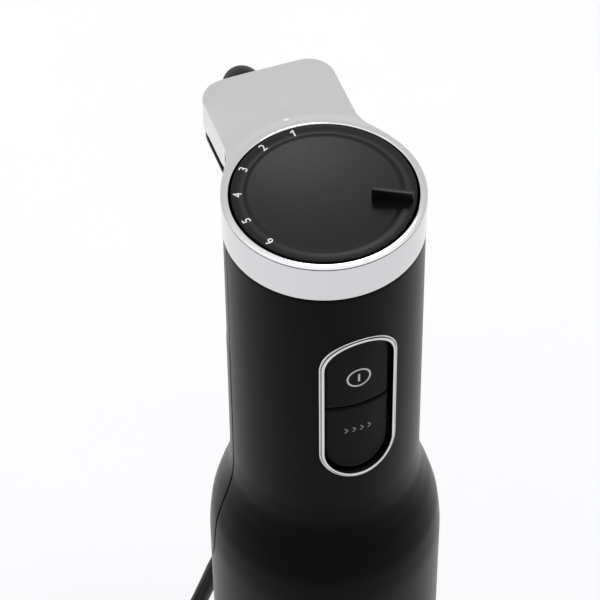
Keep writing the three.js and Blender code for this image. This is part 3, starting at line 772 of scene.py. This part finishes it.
def housing_point(angle, height, drop, rear_piece=False):
    """A point of the housing's skin; the bracket stands out of the rear piece."""
    radius = housing_radius(height)
    if rear_piece and abs(angle) < pi / 2 and height > BRACKET_LOW + 1:
        half = bracket_half(height)
        bracket = plan_radius(angle, half, bracket_rear(height), min(9.7, half * 0.7))
        radius = soft_max(radius, bracket, 1.2) - 0.15 * (1 - ease(bracket, radius - 6, radius))
    radius -= drop
    return (radius * sin(angle), radius * cos(angle), height)


def walled(name, points, faces):
    """A skin, a copy of it WALL nearer the axis, and the strip that joins their edges."""
    inner = []
    for x, y, z in points:
        near = 1 - WALL / hypot(x, y)
        inner.append((x * near, y * near, z))
    total = len(points)
    uses = {}
    for face in faces:
        for a, b in zip(face, face[1:] + face[:1]):
            uses.setdefault((min(a, b), max(a, b)), []).append((a, b))
    edge = [pairs[0] for pairs in uses.values() if len(pairs) == 1]
    closed = faces + [tuple(i + total for i in reversed(face)) for face in faces]
    closed += [(b, a, a + total, b + total) for a, b in edge]
    return shape(name, points + inner, closed, 34)


def rear_shell():
    """The back half, down to the seam that turns back under the air slots."""
    shares = back_shares()
    columns = []
    for share in shares:
        low, steep = seam_low(share, HALF_GAP)
        heights = [low + offset * steep for offset in EDGE_OFFSETS]
        heights += steps(heights[-1], BRACKET_LOW, 46)[1:] + steps(BRACKET_LOW, SHELL_TOP - 0.5, 60)[1:]
        heights += [SHELL_TOP - offset for offset in reversed(EDGE_OFFSETS[:-1])]
        column = []
        for k, height in enumerate(heights):
            angle = share * seam_angle(height, HALF_GAP)
            upright = height > 250 and (height >= low + 1 or abs(share) == 1)
            aside = (1 - abs(share)) * BACK_ARC if upright else FAR
            above = EDGE_OFFSETS[k] if k < len(EDGE_OFFSETS) else FAR
            nearest = min(aside, above, SHELL_TOP - height)
            column.append(housing_point(angle, height, edge_drop(nearest), True))
        columns.append(column)
    points = [column[k] for k in range(len(columns[0])) for column in columns]
    return walled("rear_shell_skin", points, quads(len(columns[0]), len(shares)))


def front_shell():
    """The front half at its full height, and the part of the back below the seam."""
    back = back_shares()
    front = steps(0, 1, 150)
    ends = [offset / FRONT_ARC for offset in EDGE_OFFSETS[1:]]
    front = sorted(set(front[1:-1] + ends + [1 - e for e in ends]))
    low_rows = [0, 0.3, 0.8, 1.6, 3] + steps(4.5, 62, 44) + [64, 66, 67]
    low_all = 68
    top = steps(SEAM_SIDE, SHELL_TOP - 0.5, 100)[1:] + [SHELL_TOP - o for o in reversed(EDGE_OFFSETS[:-1])]
    offsets = list(reversed(EDGE_OFFSETS))
    points, faces, rows = [], [], []

    def add(point):
        points.append(point)
        return len(points) - 1

    for share in reversed(back):
        low, steep = seam_low(share, -HALF_GAP)
        heights = [HOUSING_LOW + (low - HOUSING_LOW) * row / low_all for row in low_rows[:-1]]
        plain = len(heights)
        heights += [low - offset * steep for offset in offsets]
        column = []
        for k, height in enumerate(heights):
            angle = share * seam_angle(height, -HALF_GAP)
            near = offsets[k - plain] if k >= plain else FAR
            column.append(add(housing_point(angle, height, edge_drop(min(near, height - HOUSING_LOW)))))
        rows.append(column)
    level = [points[i][2] for i in rows[0]]
    heights = level + top
    front_columns = []
    for share in [0, *front, 1]:
        column = []
        for k, height in enumerate(heights):
            edge = seam_angle(height, -HALF_GAP)
            if share in (0, 1) and k < len(level):
                column.append(rows[-1][k] if share == 1 else rows[0][k])
                continue
            angle = -edge - share * (2 * pi - 2 * edge)
            aside = min(share, 1 - share) * (2 * pi - 2 * edge) * housing_radius(height)
            near = min(aside if height > 252 else FAR, height - HOUSING_LOW, SHELL_TOP - height)
            column.append(add(housing_point(angle, height, edge_drop(near))))
        front_columns.append(column)
    for bands in (rows, front_columns):
        for left, right in zip(bands, bands[1:]):
            for k in range(len(left) - 1):
                faces.append((left[k], right[k], right[k + 1], left[k + 1]))
    return walled("front_shell_skin", points, faces)


def stadium(half_width, bends=24):
    """The outline of the button panel, grown or shrunk to a half width."""
    points = [(half_width * cos(t), BUTTON_ARC + half_width * sin(t)) for t in steps(0, pi, bends)]
    return points + [(-x, 2 * BUTTON_MID - z) for x, z in points]


SCREW_AT = (0, 0, 299)
CORD_HOLE_AT = (0, 0, 378.9)
SLOT_LOW = 245  # the lowest of the air slots
SLOT_PITCH = 4.5
PAD_HOLE = (7.9, 9.4, 3.4)  # half the size and the corner of the hole round a release button


def add_housing():
    """Both shells, with the holes that are cut in them, and the screw that holds them."""
    rear = rear_shell()
    cutters = [lathe("hole", [(0, 40), (4.7, 40), (4.7, 60), (0, 60)], 48, CORD_HOLE_AT, "y")]
    cutters.append(lathe("recess", [(0, 20), (3.1, 20), (3.1, 40), (0, 40)], 48, SCREW_AT, "y"))
    for k in range(5):
        slot = [(x, z + SLOT_LOW + SLOT_PITCH * k) for x, z in rounded_rect(11, 1, 0.99)]
        cutters.append(prism("slot", slot, 20, 40, "y"))
    rear = carved(rear, cutters, 34)
    boss = [(3.1, 1.7), (4.4, 1.7), (4.4, 27), (3.1, 27.1)]
    rear = joined("rear_cover", [rear, lathe("boss", boss, 48, SCREW_AT, "y")], 34)
    placed(rear, "motor_unit", "soft_touch", ["rear_shell"])

    front = front_shell()
    cutters = [prism("window", [(x + PANEL_ASIDE, z) for x, z in stadium(11.7)], -40, -15, "y")]
    pad = [(y, z + PAD_MID) for y, z in rounded_rect(*PAD_HOLE)]
    cutters += [prism("side_hole", pad, low, high, "x") for low, high in ((20, 40), (-40, -20))]
    front = carved(front, cutters, 34)
    front.name = "front_cover"
    placed(front, "motor_unit", "soft_touch", ["front_shell"])
    add_screw()


def add_screw():
    """A cross-head screw at the bottom of its recess."""
    head = [(0, 18.4), (2.7, 18.4), (2.75, 19.2), (2.4, 20.1), (1.5, 20.5), (0, 20.6)]
    screw = lathe("screw_head", soften(head, 0.2, 3), 64, SCREW_AT, "y")
    for half_x, half_z in ((1.7, 0.32), (0.32, 1.7)):
        slot = [(x, z + SCREW_AT[2]) for x, z in rounded_rect(half_x, half_z, 0.1, 2)]
        screw = carved(screw, [prism("slot", slot, 19.2, 21, "y")])
    placed(screw, "motor_unit", "steel", ["shell_screw"], "zinc")


# ---- Chrome head
def head_angles():
    """Columns round the head from the rear, close together where the outline bends."""
    flat_half, flat_side = TONGUE_HALF - TONGUE_CORNER, TONGUE_REAR - TONGUE_CORNER
    side = [atan2(x, TONGUE_REAR) for x in steps(0, flat_half, 10)]
    for turn in steps(0, pi / 2, 20)[1:]:
        side.append(atan2(flat_half + TONGUE_CORNER * sin(turn), flat_side + TONGUE_CORNER * cos(turn)))
    side += [atan2(TONGUE_HALF, y) for y in steps(flat_side, 24, 20)[1:]]
    side += [radians(a) for a in steps(40.5, 70, 40)] + [radians(a) for a in steps(71.5, 180, 80)]
    return sorted(side) + [2 * pi - a for a in sorted(side, reverse=True) if 0 < a < pi]


# The top of the head against the distance from the axis: rim, bevel and the fillet down to the tongue.
head_top = through([
    (RIM_R, RING_TOP), (26.9, RING_TOP - 0.03), (27.5, RING_TOP - 0.11), (28.1, RING_TOP - 0.3),
    (28.9, RING_TOP - 0.63), (29.9, RING_TOP - 1.05), (31.2, RING_TOP - 1.52), (32.8, RING_TOP - 1.84),
    (35, TONGUE_TOP), (60, TONGUE_TOP),
])


def head_profile(angle):
    """The head's closed (radius, height) section at an angle from the rear."""
    tongue = plan_radius(angle, TONGUE_HALF, TONGUE_REAR, TONGUE_CORNER) if cos(angle) > 0 else 0
    outer = fillet(RING_R, tongue, 8)
    tongue_share = ease(outer, RING_R + 0.15, RING_R + 3)
    edge = 0.16 + 0.75 * tongue_share  # radius of the rounded upper edge
    reach = outer - edge - RIM_R
    near = min(reach, 5.5)
    lip = RIM_R - OPENING_R
    profile = [(OPENING_R, BAND_LOW + 0.2), (OPENING_R, RING_TOP - 0.9)]
    for turn in steps(0, pi / 2, 7)[:-1]:
        profile.append((RIM_R - lip * cos(turn), RING_TOP - lip + lip * sin(turn)))

    def level(radius):
        """The tongue is crowned, so its sides lie a little lower than its middle."""
        return head_top(radius) - 0.35 * tongue_share * (radius * sin(angle) / TONGUE_HALF) ** 2

    for u in steps(0, 1, 24):
        radius = RIM_R + near * u + (reach - near) * u**3
        profile.append((radius, level(radius)))
    shoulder = level(outer - edge)
    for turn in steps(0, pi / 2, 6)[1:]:
        profile.append((outer - edge + edge * sin(turn), shoulder - edge + edge * cos(turn)))
    groove = shoulder - edge
    deep = 0.5 * (1 - tongue_share)
    profile += [(outer - deep, groove - 0.05), (outer - deep, groove - 0.3), (outer, groove - 0.4)]
    low = BAND_LOW + 0.25
    profile += [(outer, low + (groove - 0.4 - low) * s) for s in (0.9, 0.75, 0.5, 0.25)]
    profile += [(outer - 0.25 + 0.25 * cos(t), low - 0.25 * sin(t)) for t in steps(0, pi / 2, 3)]
    profile.append((OPENING_R + 0.2, BAND_LOW))
    return profile


DOT_REAR = 30.4  # how far behind the axis the index dot stands


def add_head():
    """The chrome ring and tongue, and the white dot on them that marks the speed."""
    angles = head_angles()
    points = []
    for angle in angles:
        for radius, height in head_profile(angle):
            y = radius * cos(angle)
            points.append((radius * sin(angle) + TONGUE_ASIDE * ease(y, 16, 30), y, height))
    count = len(head_profile(0))
    head = shape("head_cap", points, quads(len(angles), count, True, True), 50)
    placed(head, "motor_unit", "chrome", ["head_trim"])
    points = []
    for radius, lift in ((0.02, -0.3), (0.85, -0.3), (0.85, 0.06), (0.72, 0.1), (0.4, 0.1), (0.02, 0.1)):
        for turn in steps(0, 2 * pi, 40)[:-1]:
            x, y = radius * cos(turn), DOT_REAR + radius * sin(turn)
            points.append((x, y, head_top(hypot(x, y)) + lift))
    dot = shape("index_dot", points, quads(6, 40, True, True))
    placed(dot, "motor_unit", "chrome", dress="ink")


# ---- Dial
DISH_EDGE = 21.7
DISH_R = 20.5
DISH_LOW = DIAL_TOP - 0.3  # where the step at the dish's edge ends
DISH_DEEP = 0.9
DIGIT_R = 23.4
DIGIT_STEP = 24  # degrees from one digit to the next
FIN_TURN = radians(119)  # clockwise from the index, seen from above


def add_dial():
    """The dial: a disc with a raised band round a shallow dish, its finger grip and its digits."""
    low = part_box("speed_dial")[0].z / MM
    outline = [(0, low), (DIAL_R - 0.2, low), (DIAL_R, low + 0.2), (DIAL_R, DIAL_TOP - 0.5)]
    outline += [(DIAL_R - 0.15, DIAL_TOP - 0.15), (DIAL_R - 0.5, DIAL_TOP), (DISH_EDGE + 0.5, DIAL_TOP)]
    outline += [(DISH_EDGE, DIAL_TOP - 0.05), (DISH_EDGE - 0.4, DIAL_TOP - 0.2), (DISH_EDGE - 0.9, DISH_LOW)]
    outline += [(r, DISH_LOW - DISH_DEEP * (1 - (r / DISH_R) ** 2)) for r in steps(20.2, 1, 24)]
    outline += [(0, DISH_LOW - DISH_DEEP)]
    disc = lathe("dial_disc", outline, 192)
    placed(disc, "dial", "satin_black", ["speed_dial"], "dial")
    add_fin()
    add_digits()


def add_fin():
    """The finger grip: a thin upright blade near the edge."""
    out, aside = (sin(FIN_TURN), cos(FIN_TURN)), (cos(FIN_TURN), -sin(FIN_TURN))
    base = DIAL_TOP - 1.5
    tip = RING_TOP + 3.8
    outline = [(13, base), (24.3, base), (24.3, tip - 0.2), (24.1, tip), (13.2, tip), (13, tip - 0.2)]
    points = []
    for across in (-0.72, 0.72):
        points += [(out[0] * r + aside[0] * across, out[1] * r + aside[1] * across, z) for r, z in outline]
    fin = bevelled(shape("dial_fin", points, tube(len(outline))), 0.2)
    placed(fin, "dial", "satin_black", dress="fin")


def flagged_one():
    """The digit 1 with a short flag, in millimetres about its own middle."""
    outline = [(-0.1, -1.2), (0.3, -1.2), (0.3, 1.2), (0, 1.2), (-0.75, 0.65), (-0.75, 0.25), (-0.1, 0.65)]
    mesh = bpy.data.meshes.new("digit")
    points = [(x, y, z) for z in (-0.06, 0.06) for x, y in outline]
    mesh.from_pydata(points, [], tube(len(outline)))
    return mesh


def printed(digit):
    """A digit in relief, in millimetres, from the plain built-in typeface."""
    text = bpy.data.curves.new("digit", "FONT")
    text.body = str(digit)
    text.size = 3.45
    text.offset = 0.012
    text.extrude = 0.06
    text.align_x = "CENTER"
    text.align_y = "CENTER"
    holder = linked("digit", text)
    mesh = bpy.data.meshes.new_from_object(holder.evaluated_get(bpy.context.evaluated_depsgraph_get()))
    bpy.data.objects.remove(holder)
    return mesh


def add_digits():
    glyphs = []
    for k in range(6):
        mesh = printed(k + 1) if k else flagged_one()
        xs, ys = [v.co.x for v in mesh.vertices], [v.co.y for v in mesh.vertices]
        centre = Vector(((min(xs) + max(xs)) / 2, (min(ys) + max(ys)) / 2, 0))
        turn = radians(DIGIT_STEP * k + 1.4)
        at = Vector((-sin(turn) * DIGIT_R, cos(turn) * DIGIT_R, DIAL_TOP))
        place = Matrix.Translation(at) @ Matrix.Rotation(turn, 4, "Z")
        for vertex in mesh.vertices:
            vertex.co = metres(place @ (vertex.co - centre))
        glyphs.append(linked("digit", mesh))
    placed(joined("dial_digits", glyphs), "dial", "satin_black", dress="ink")


# ---- Front buttons
PANEL_ASIDE = 0.55  # how far right of the middle the button panel stands


def on_front(x, z, radius):
    """A point on the front at a distance from the axis, by its place on the panel."""
    x += PANEL_ASIDE
    return (x, -sqrt(radius**2 - x * x), z)


BEZEL_MID = 10.85  # half the distance between the middles of the band's two sides


def add_bezel():
    """A rounded chrome band with a low flange outside it, which follows the grip round both buttons."""
    middle = stadium(BEZEL_MID, 40)
    arc = len(middle) // 2
    straight = steps(BUTTON_ARC, 2 * BUTTON_MID - BUTTON_ARC, 24)[1:-1]
    left = [(-BEZEL_MID, z) for z in straight]
    right = [(BEZEL_MID, z) for z in reversed(straight)]
    loop = middle[:arc] + left + middle[arc:] + right
    section = [(0.72, 24.9), (0.72, 28), (0.66, 28.12), (0.54, 28.15), (0.44, 28.08)]
    section += [(0.4, 27.5), (0.14, 27.5)]
    section += [(0.36 * cos(t) - 0.24, BEZEL_R - 0.3 + 0.3 * sin(t)) for t in steps(0, pi, 12)]
    section += [(-0.6, BEZEL_R - 0.6), (-0.6, 24.9)]
    points = []
    for i, (x, z) in enumerate(loop):
        (xa, za), (xb, zb) = loop[i - 1], loop[(i + 1) % len(loop)]
        on = Vector((xb - xa, zb - za)).normalized()
        out = Vector((on.y, -on.x))
        points += [on_front(x + out.x * across, z + out.y * across, radius) for across, radius in section]
    bezel = shape("bezel", points, quads(len(loop), len(section), True, True))
    placed(bezel, "motor_unit", "chrome", ["button_bezel"])


def pressed_panel(name, half_width, edge_distance, heights, face, place, depth):
    """A closed panel: a face with rounded edges, its sides and a back.
    place puts (across, height, radius) in space."""
    shares = [-1, -0.985, -0.96, -0.93, -0.9] + steps(-0.85, 0.85, 34) + [0.9, 0.93, 0.96, 0.985, 1]
    front, back = [], []
    for z in heights:
        half = half_width(z)
        for share in shares:
            x = half * share
            drop = edge_drop(max(0, edge_distance(x, z)), 0.42, 0.8)
            front.append(place(x, z, face(x, z) - drop))
            back.append(place(x, z, depth))
    rows, columns = len(heights), len(shares)
    total = rows * columns
    faces = quads(rows, columns) + [tuple(i + total for i in f) for f in quads(rows, columns)]
    rim = list(range(columns)) + [r * columns + columns - 1 for r in range(1, rows)]
    rim += [total - 1 - c for c in range(1, columns)] + [r * columns for r in range(rows - 2, 0, -1)]
    for a, b in zip(rim, rim[1:] + rim[:1]):
        faces.append((a, b, b + total, a + total))
    return shape(name, front + back, faces, 42)


SPLIT = 0.3  # half the gap between the two buttons
SPLIT_CORNER = 0.6


def cap_half(rise):
    """Half the width of a button, by the distance from the panel's middle."""
    if rise > ARC_RISE:
        return sqrt(max(0.02, BUTTON_HALF_W**2 - (rise - ARC_RISE) ** 2))
    inner = max(0, SPLIT_CORNER - (rise - SPLIT))
    return BUTTON_HALF_W - SPLIT_CORNER + sqrt(SPLIT_CORNER**2 - inner**2)


def cap_edge(x, rise):
    """How far a place on a button is from the button's edge."""
    if rise > ARC_RISE:
        return BUTTON_HALF_W - hypot(x, rise - ARC_RISE)
    return min(BUTTON_HALF_W - abs(x), rise - SPLIT)


def add_buttons():
    """The two front buttons, which mirror each other about the panel's middle."""
    rises = [SPLIT + d for d in (0, 0.05, 0.12, 0.22, 0.36, 0.6, 0.8)] + steps(1.6, ARC_RISE, 24)
    rises += [ARC_RISE + BUTTON_HALF_W * sin(t) for t in steps(0, pi / 2, 30)[1:]]
    for name, mirror in (("power_button", 1), ("turbo_button", -1)):
        button = pressed_panel(
            f"{name}_cap", cap_half, cap_edge, rises,
            lambda x, rise: BUTTON_R,
            lambda x, rise, radius: on_front(x, BUTTON_MID + mirror * rise, radius),
            24.2,
        )
        placed(button, name, "satin_black", [name])
    add_marks()


def ribbon(name, line, width, closed=False):
    """A thin printed line on the face of a button, from (x, z) points."""
    points = []
    count = len(line)
    for i, (x, z) in enumerate(line):
        (xa, za), (xb, zb) = line[i - 1], line[(i + 1) % count]
        if not closed:
            (xa, za), (xb, zb) = line[max(0, i - 1)], line[min(count - 1, i + 1)]
        on = Vector((xb - xa, zb - za)).normalized()
        for across, radius in ((-0.5, -0.1), (0.5, -0.1), (0.5, 0.05), (-0.5, 0.05)):
            u, v = x - on.y * width * across, z + on.x * width * across
            points.append(on_front(u, v, BUTTON_R + radius))
    return shape(name, points, quads(count, 4, True, True) if closed else tube(4, count), 30)


def add_marks():
    """A power symbol on the upper button and four chevrons on the lower one."""
    mark_x, mark_z, mark_r = -0.05, 350.2, 3.35
    turns = steps(0, 2 * pi, 64)[:-1]
    circle = [(mark_x + mark_r * cos(t), mark_z + mark_r * sin(t)) for t in turns]
    bar = [(mark_x, mark_z + rise) for rise in steps(-1.5, 1.5, 4)]
    power = joined("power_mark", [ribbon("m", circle, 0.55, True), ribbon("m", bar, 0.6)])
    placed(power, "power_button", "satin_black", dress="grey_ink")
    arrows = []
    arrow_z = 328.2
    for k in range(4):
        tip = -3.2 + 2.3 * k
        for way in (1, -1):
            line = [(tip - 0.9, arrow_z + way * 0.95), (tip, arrow_z + way * 0.02)]
            arrows.append(ribbon("m", line, 0.34))
    placed(joined("turbo_mark", arrows), "turbo_button", "satin_black", dress="dim_ink")


# ---- Where the foot plugs in
HOOK_LEVELS = {"left": (197.5, 199.7), "right": (202.3, 204.5)}
PAD_HALF_Y = 7.5
PAD_HALF_Z = 9
PAD_CORNER = 3
PAD_RIDGES = 2.4  # from one finger ridge to the next
YOKE_R = 24.4


def pad_half(z):
    """Half the width of a release button at a height."""
    inner = max(0, PAD_CORNER - (PAD_HALF_Z - abs(z - PAD_MID)))
    return PAD_HALF_Y - PAD_CORNER + sqrt(max(0, PAD_CORNER**2 - inner**2))


def pad_edge(y, z):
    """How far a place on a release button is from the button's edge."""
    dy, dz = PAD_HALF_Y - abs(y), PAD_HALF_Z - abs(z - PAD_MID)
    if max(dy, dz) < PAD_CORNER:
        return PAD_CORNER - hypot(PAD_CORNER - dy, PAD_CORNER - dz)
    return min(dy, dz)


def pad_face(y, z):
    """Radius of the button's face: a little proud of the housing, with finger ridges."""
    ridge = 0.16 * (1 + cos(2 * pi * (z - PAD_MID) / PAD_RIDGES)) * ease(pad_edge(y, z), 0.9, 2)
    return housing_radius(z) + 0.25 + ridge


def add_release_buttons():
    """Each button has a yoke round the socket and a hook on the far side of it."""
    ends = [PAD_CORNER * (1 - cos(t)) for t in steps(0, pi / 2, 12)]
    heights = [PAD_MID - PAD_HALF_Z + e for e in ends] + steps(PAD_MID - 6, PAD_MID + 6, 70)[1:-1]
    heights += [PAD_MID + PAD_HALF_Z - e for e in reversed(ends)]
    for name, sign in (("left", -1), ("right", 1)):
        pad = pressed_panel(
            f"pad_{name}", pad_half, pad_edge, heights, pad_face,
            lambda y, z, radius: (sign * sqrt(radius**2 - y * y), y, z),
            31.9,
        )
        low, high = HOOK_LEVELS[name]
        yoke = lathe("yoke", soften([(YOKE_R, low), (27, low), (27, high), (YOKE_R, high)], 0.3, 2), 96)
        web = [(sign * (x + 29.3), y) for x, y in rounded_rect(3.6, 5, 0.4, 3)]
        web = prism("web", web, low, high)
        hook = [(-sign * x, y) for x, y in ((24.6, 4), (19.9, 3.2), (19.9, -3.2), (24.6, -4))]
        hook = bevelled(prism("hook", hook, low, high), 0.3, 2)
        button = joined(f"release_{name}_pad", [pad, yoke, bevelled(web, 0.3, 2), hook])
        placed(button, f"release_{name}", "soft_touch", [f"release_button_{name}"])


def add_collar_ring():
    """The chrome ring at the bottom of the housing."""
    outline = [(20.4, 186), (30.4, 186), (31.1, 186.5), (31.3, 187.3), (31.3, 189.7), (20.4, 189.7)]
    ring = lathe("chrome_collar", soften(outline, 0.35, 4), 192)
    placed(ring, "motor_unit", "chrome", ["collar_ring"])


# ---- Blending foot
def add_foot():
    """The collar that flares from the tube to the housing, with the spigot that enters the housing."""
    flare = through([
        (136, 14), (137, 14.3), (143, 14.6), (154, 18), (168, 26), (178, 30.2), (183, 30.8), (185.5, 30.4),
    ])
    outline = [(11.3, 136), (13.6, 136), (14, 136.3)]
    outline += [(flare(z), z) for z in steps(136.6, 184.9, 60)]
    outline += [(30.1, 185.3), (29.7, 185.5), (19.8, 185.5), (19.5, 185.9), (19.5, 208.2), (19.2, 209)]
    outline += [(15.8, 209), (15.5, 208.6), (15.5, 186), (6.3, 186), (6.3, 176), (11.3, 176)]
    collar = lathe("foot_cone", outline, 192)
    placed(collar, "blending_foot", "satin_black", ["foot_collar"], "collar")
    shaft = lathe("foot_tube", [(11, 50), (11, 175.7), (9.8, 175.7), (9.8, 50)], 144)
    placed(shaft, "blending_foot", "steel", ["shaft_tube"])
    add_bell()


def add_bell():
    """The bell over the blade, with its bearing tube inside and four arches in its rim."""
    outer = through([
        (0, 33), (8, 33.2), (18, 32.4), (28, 30), (37, 25.5), (44.5, 19.5), (50, 15.5), (57, 13.8),
        (64, 13.6),
    ])
    inner = through([(0, 31.4), (8, 31.6), (17, 30.7), (26, 28.4), (34.5, 24), (41, 18)])
    outline = [(32.2, 0), (32.8, 0.2), (33, 0.7)] + [(outer(z), z) for z in steps(1.2, 63.3, 90)]
    outline += [(13.3, 63.9), (12.9, 64), (11.4, 64), (11.3, 49.7), (5.8, 49.7), (5.8, 36), (8.5, 36)]
    outline += [(8.6, 38.5), (9, 41), (10.5, 42.6), (13, 43), (15.5, 42.4)]
    outline += [(inner(z), z) for z in steps(41, 1, 50)] + [(31.5, 0.4), (31.8, 0.05)]
    bell = lathe("bell", outline, 192)
    arch = [(-7, -2), (7, -2)] + [(7 * cos(t), 3.5 + 7 * sin(t)) for t in steps(0, pi, 28)]
    sides = [(way, low) for way in "xy" for low in (20, -40)]
    cutters = [prism("arch", arch, low, low + 20, way) for way, low in sides]
    placed(carved(bell, cutters, 34), "blending_foot", "steel", ["bell_guard"])


def wing_points(reach, rise, half, turn):
    """One wing: flat at the middle, bent towards the tip, ground thin along its leading edge.
    Gives its points, how many rows they make and how many stand in a row."""
    points = []
    for share in steps(0, 1, 26):
        along = reach * share
        height = 13 + rise * max(0, along - 8) / (reach - 8)
        tip = max(0, 1 - (max(0, along - reach + 2.2) / 2.2) ** 2)
        width = half * (0.35 + 0.65 * sqrt(tip)) * (1 - 0.08 * share)
        ground = 0.85 * ease(along, 7, 9)
        row = [(-width, 0), (width * 0.3, 0), (width * 0.97, 0.15), (width, 0.3)]
        row += [(width, 1.4 - ground), (width * 0.97, 1.45 - ground), (width * 0.45, 1.4)]
        row += [(-width * 0.9, 1.4), (-width, 1.25)]
        for across, up in row:
            x = along * cos(turn) - across * sin(turn)
            y = along * sin(turn) + across * cos(turn)
            points.append((x, y, height + up))
    return points, len(points) // len(row), len(row)


def add_blade():
    """Two long wings bent down, two short ones bent up, the nut under them and the shaft."""
    wings = []
    for k, (reach, rise, half) in enumerate([(27, -2.5, 4.5), (22, 4, 4)] * 2):
        points, rows, columns = wing_points(reach, rise, half, k * pi / 2)
        wings.append(shape("wing", points, tube(columns, rows), 25))
    hub = lathe("hub", soften([(3.3, 12.9), (6.2, 12.9), (6.2, 14.5), (3.3, 14.5)], 0.2, 2), 64)
    placed(joined("blade_star", [*wings, hub], 25), "blade_assembly", "steel", ["blade"], "ground")
    nut = bevelled(prism("nut", hexagon(5.6), 8.6, 12.7), 0.35, 3)
    placed(nut, "blade_assembly", "steel", ["blade_nut"], "zinc")
    shaft = [(0, 7.4), (2.6, 7.4), (3, 7.8), (3, 14.8), (5.2, 14.8), (5.2, 35.7), (3, 35.7), (3, 192.4)]
    shaft += [(2.6, 193), (0, 193)]
    placed(lathe("blade_spindle", shaft, 64), "blade_assembly", "steel", ["blade_shaft"])


def add_couplings():
    """The six-sided male coupling on the foot, and the socket on the motor that it enters."""
    male = bevelled(prism("male", hexagon(6), 187, 199), 0.5, 3)
    placed(male, "blade_assembly", "nylon", ["driven_coupling"])
    outline = [(0, 189.5), (9.3, 189.5), (10, 190.2), (10, 205.3), (9.3, 206), (0, 206)]
    female = lathe("female", soften(outline, 0.2, 2), 96)
    female = carved(female, [prism("bore", hexagon(6.9), 188, 200)])
    placed(female, "rotor", "nylon", ["drive_coupling"])


# ---- The scene
bpy.context.scene.view_settings.view_transform = "Standard"
add_camera()
add_world()
add_stage(EXTRA["floor"])
add_light("key", (-1.1, 0.5, 1.5), (0, 0, 0.3), 1.2, 3)
add_light("rear_panel", (0.49, 1.05, 2.05), (0, 0, 0.4), 0.3, 3.3, glossy=True)
dress_cad_nodes()
add_cord()
add_housing()
add_head()
add_dial()
add_bezel()
add_buttons()
add_release_buttons()
add_collar_ring()
add_foot()
add_blade()
add_couplings()
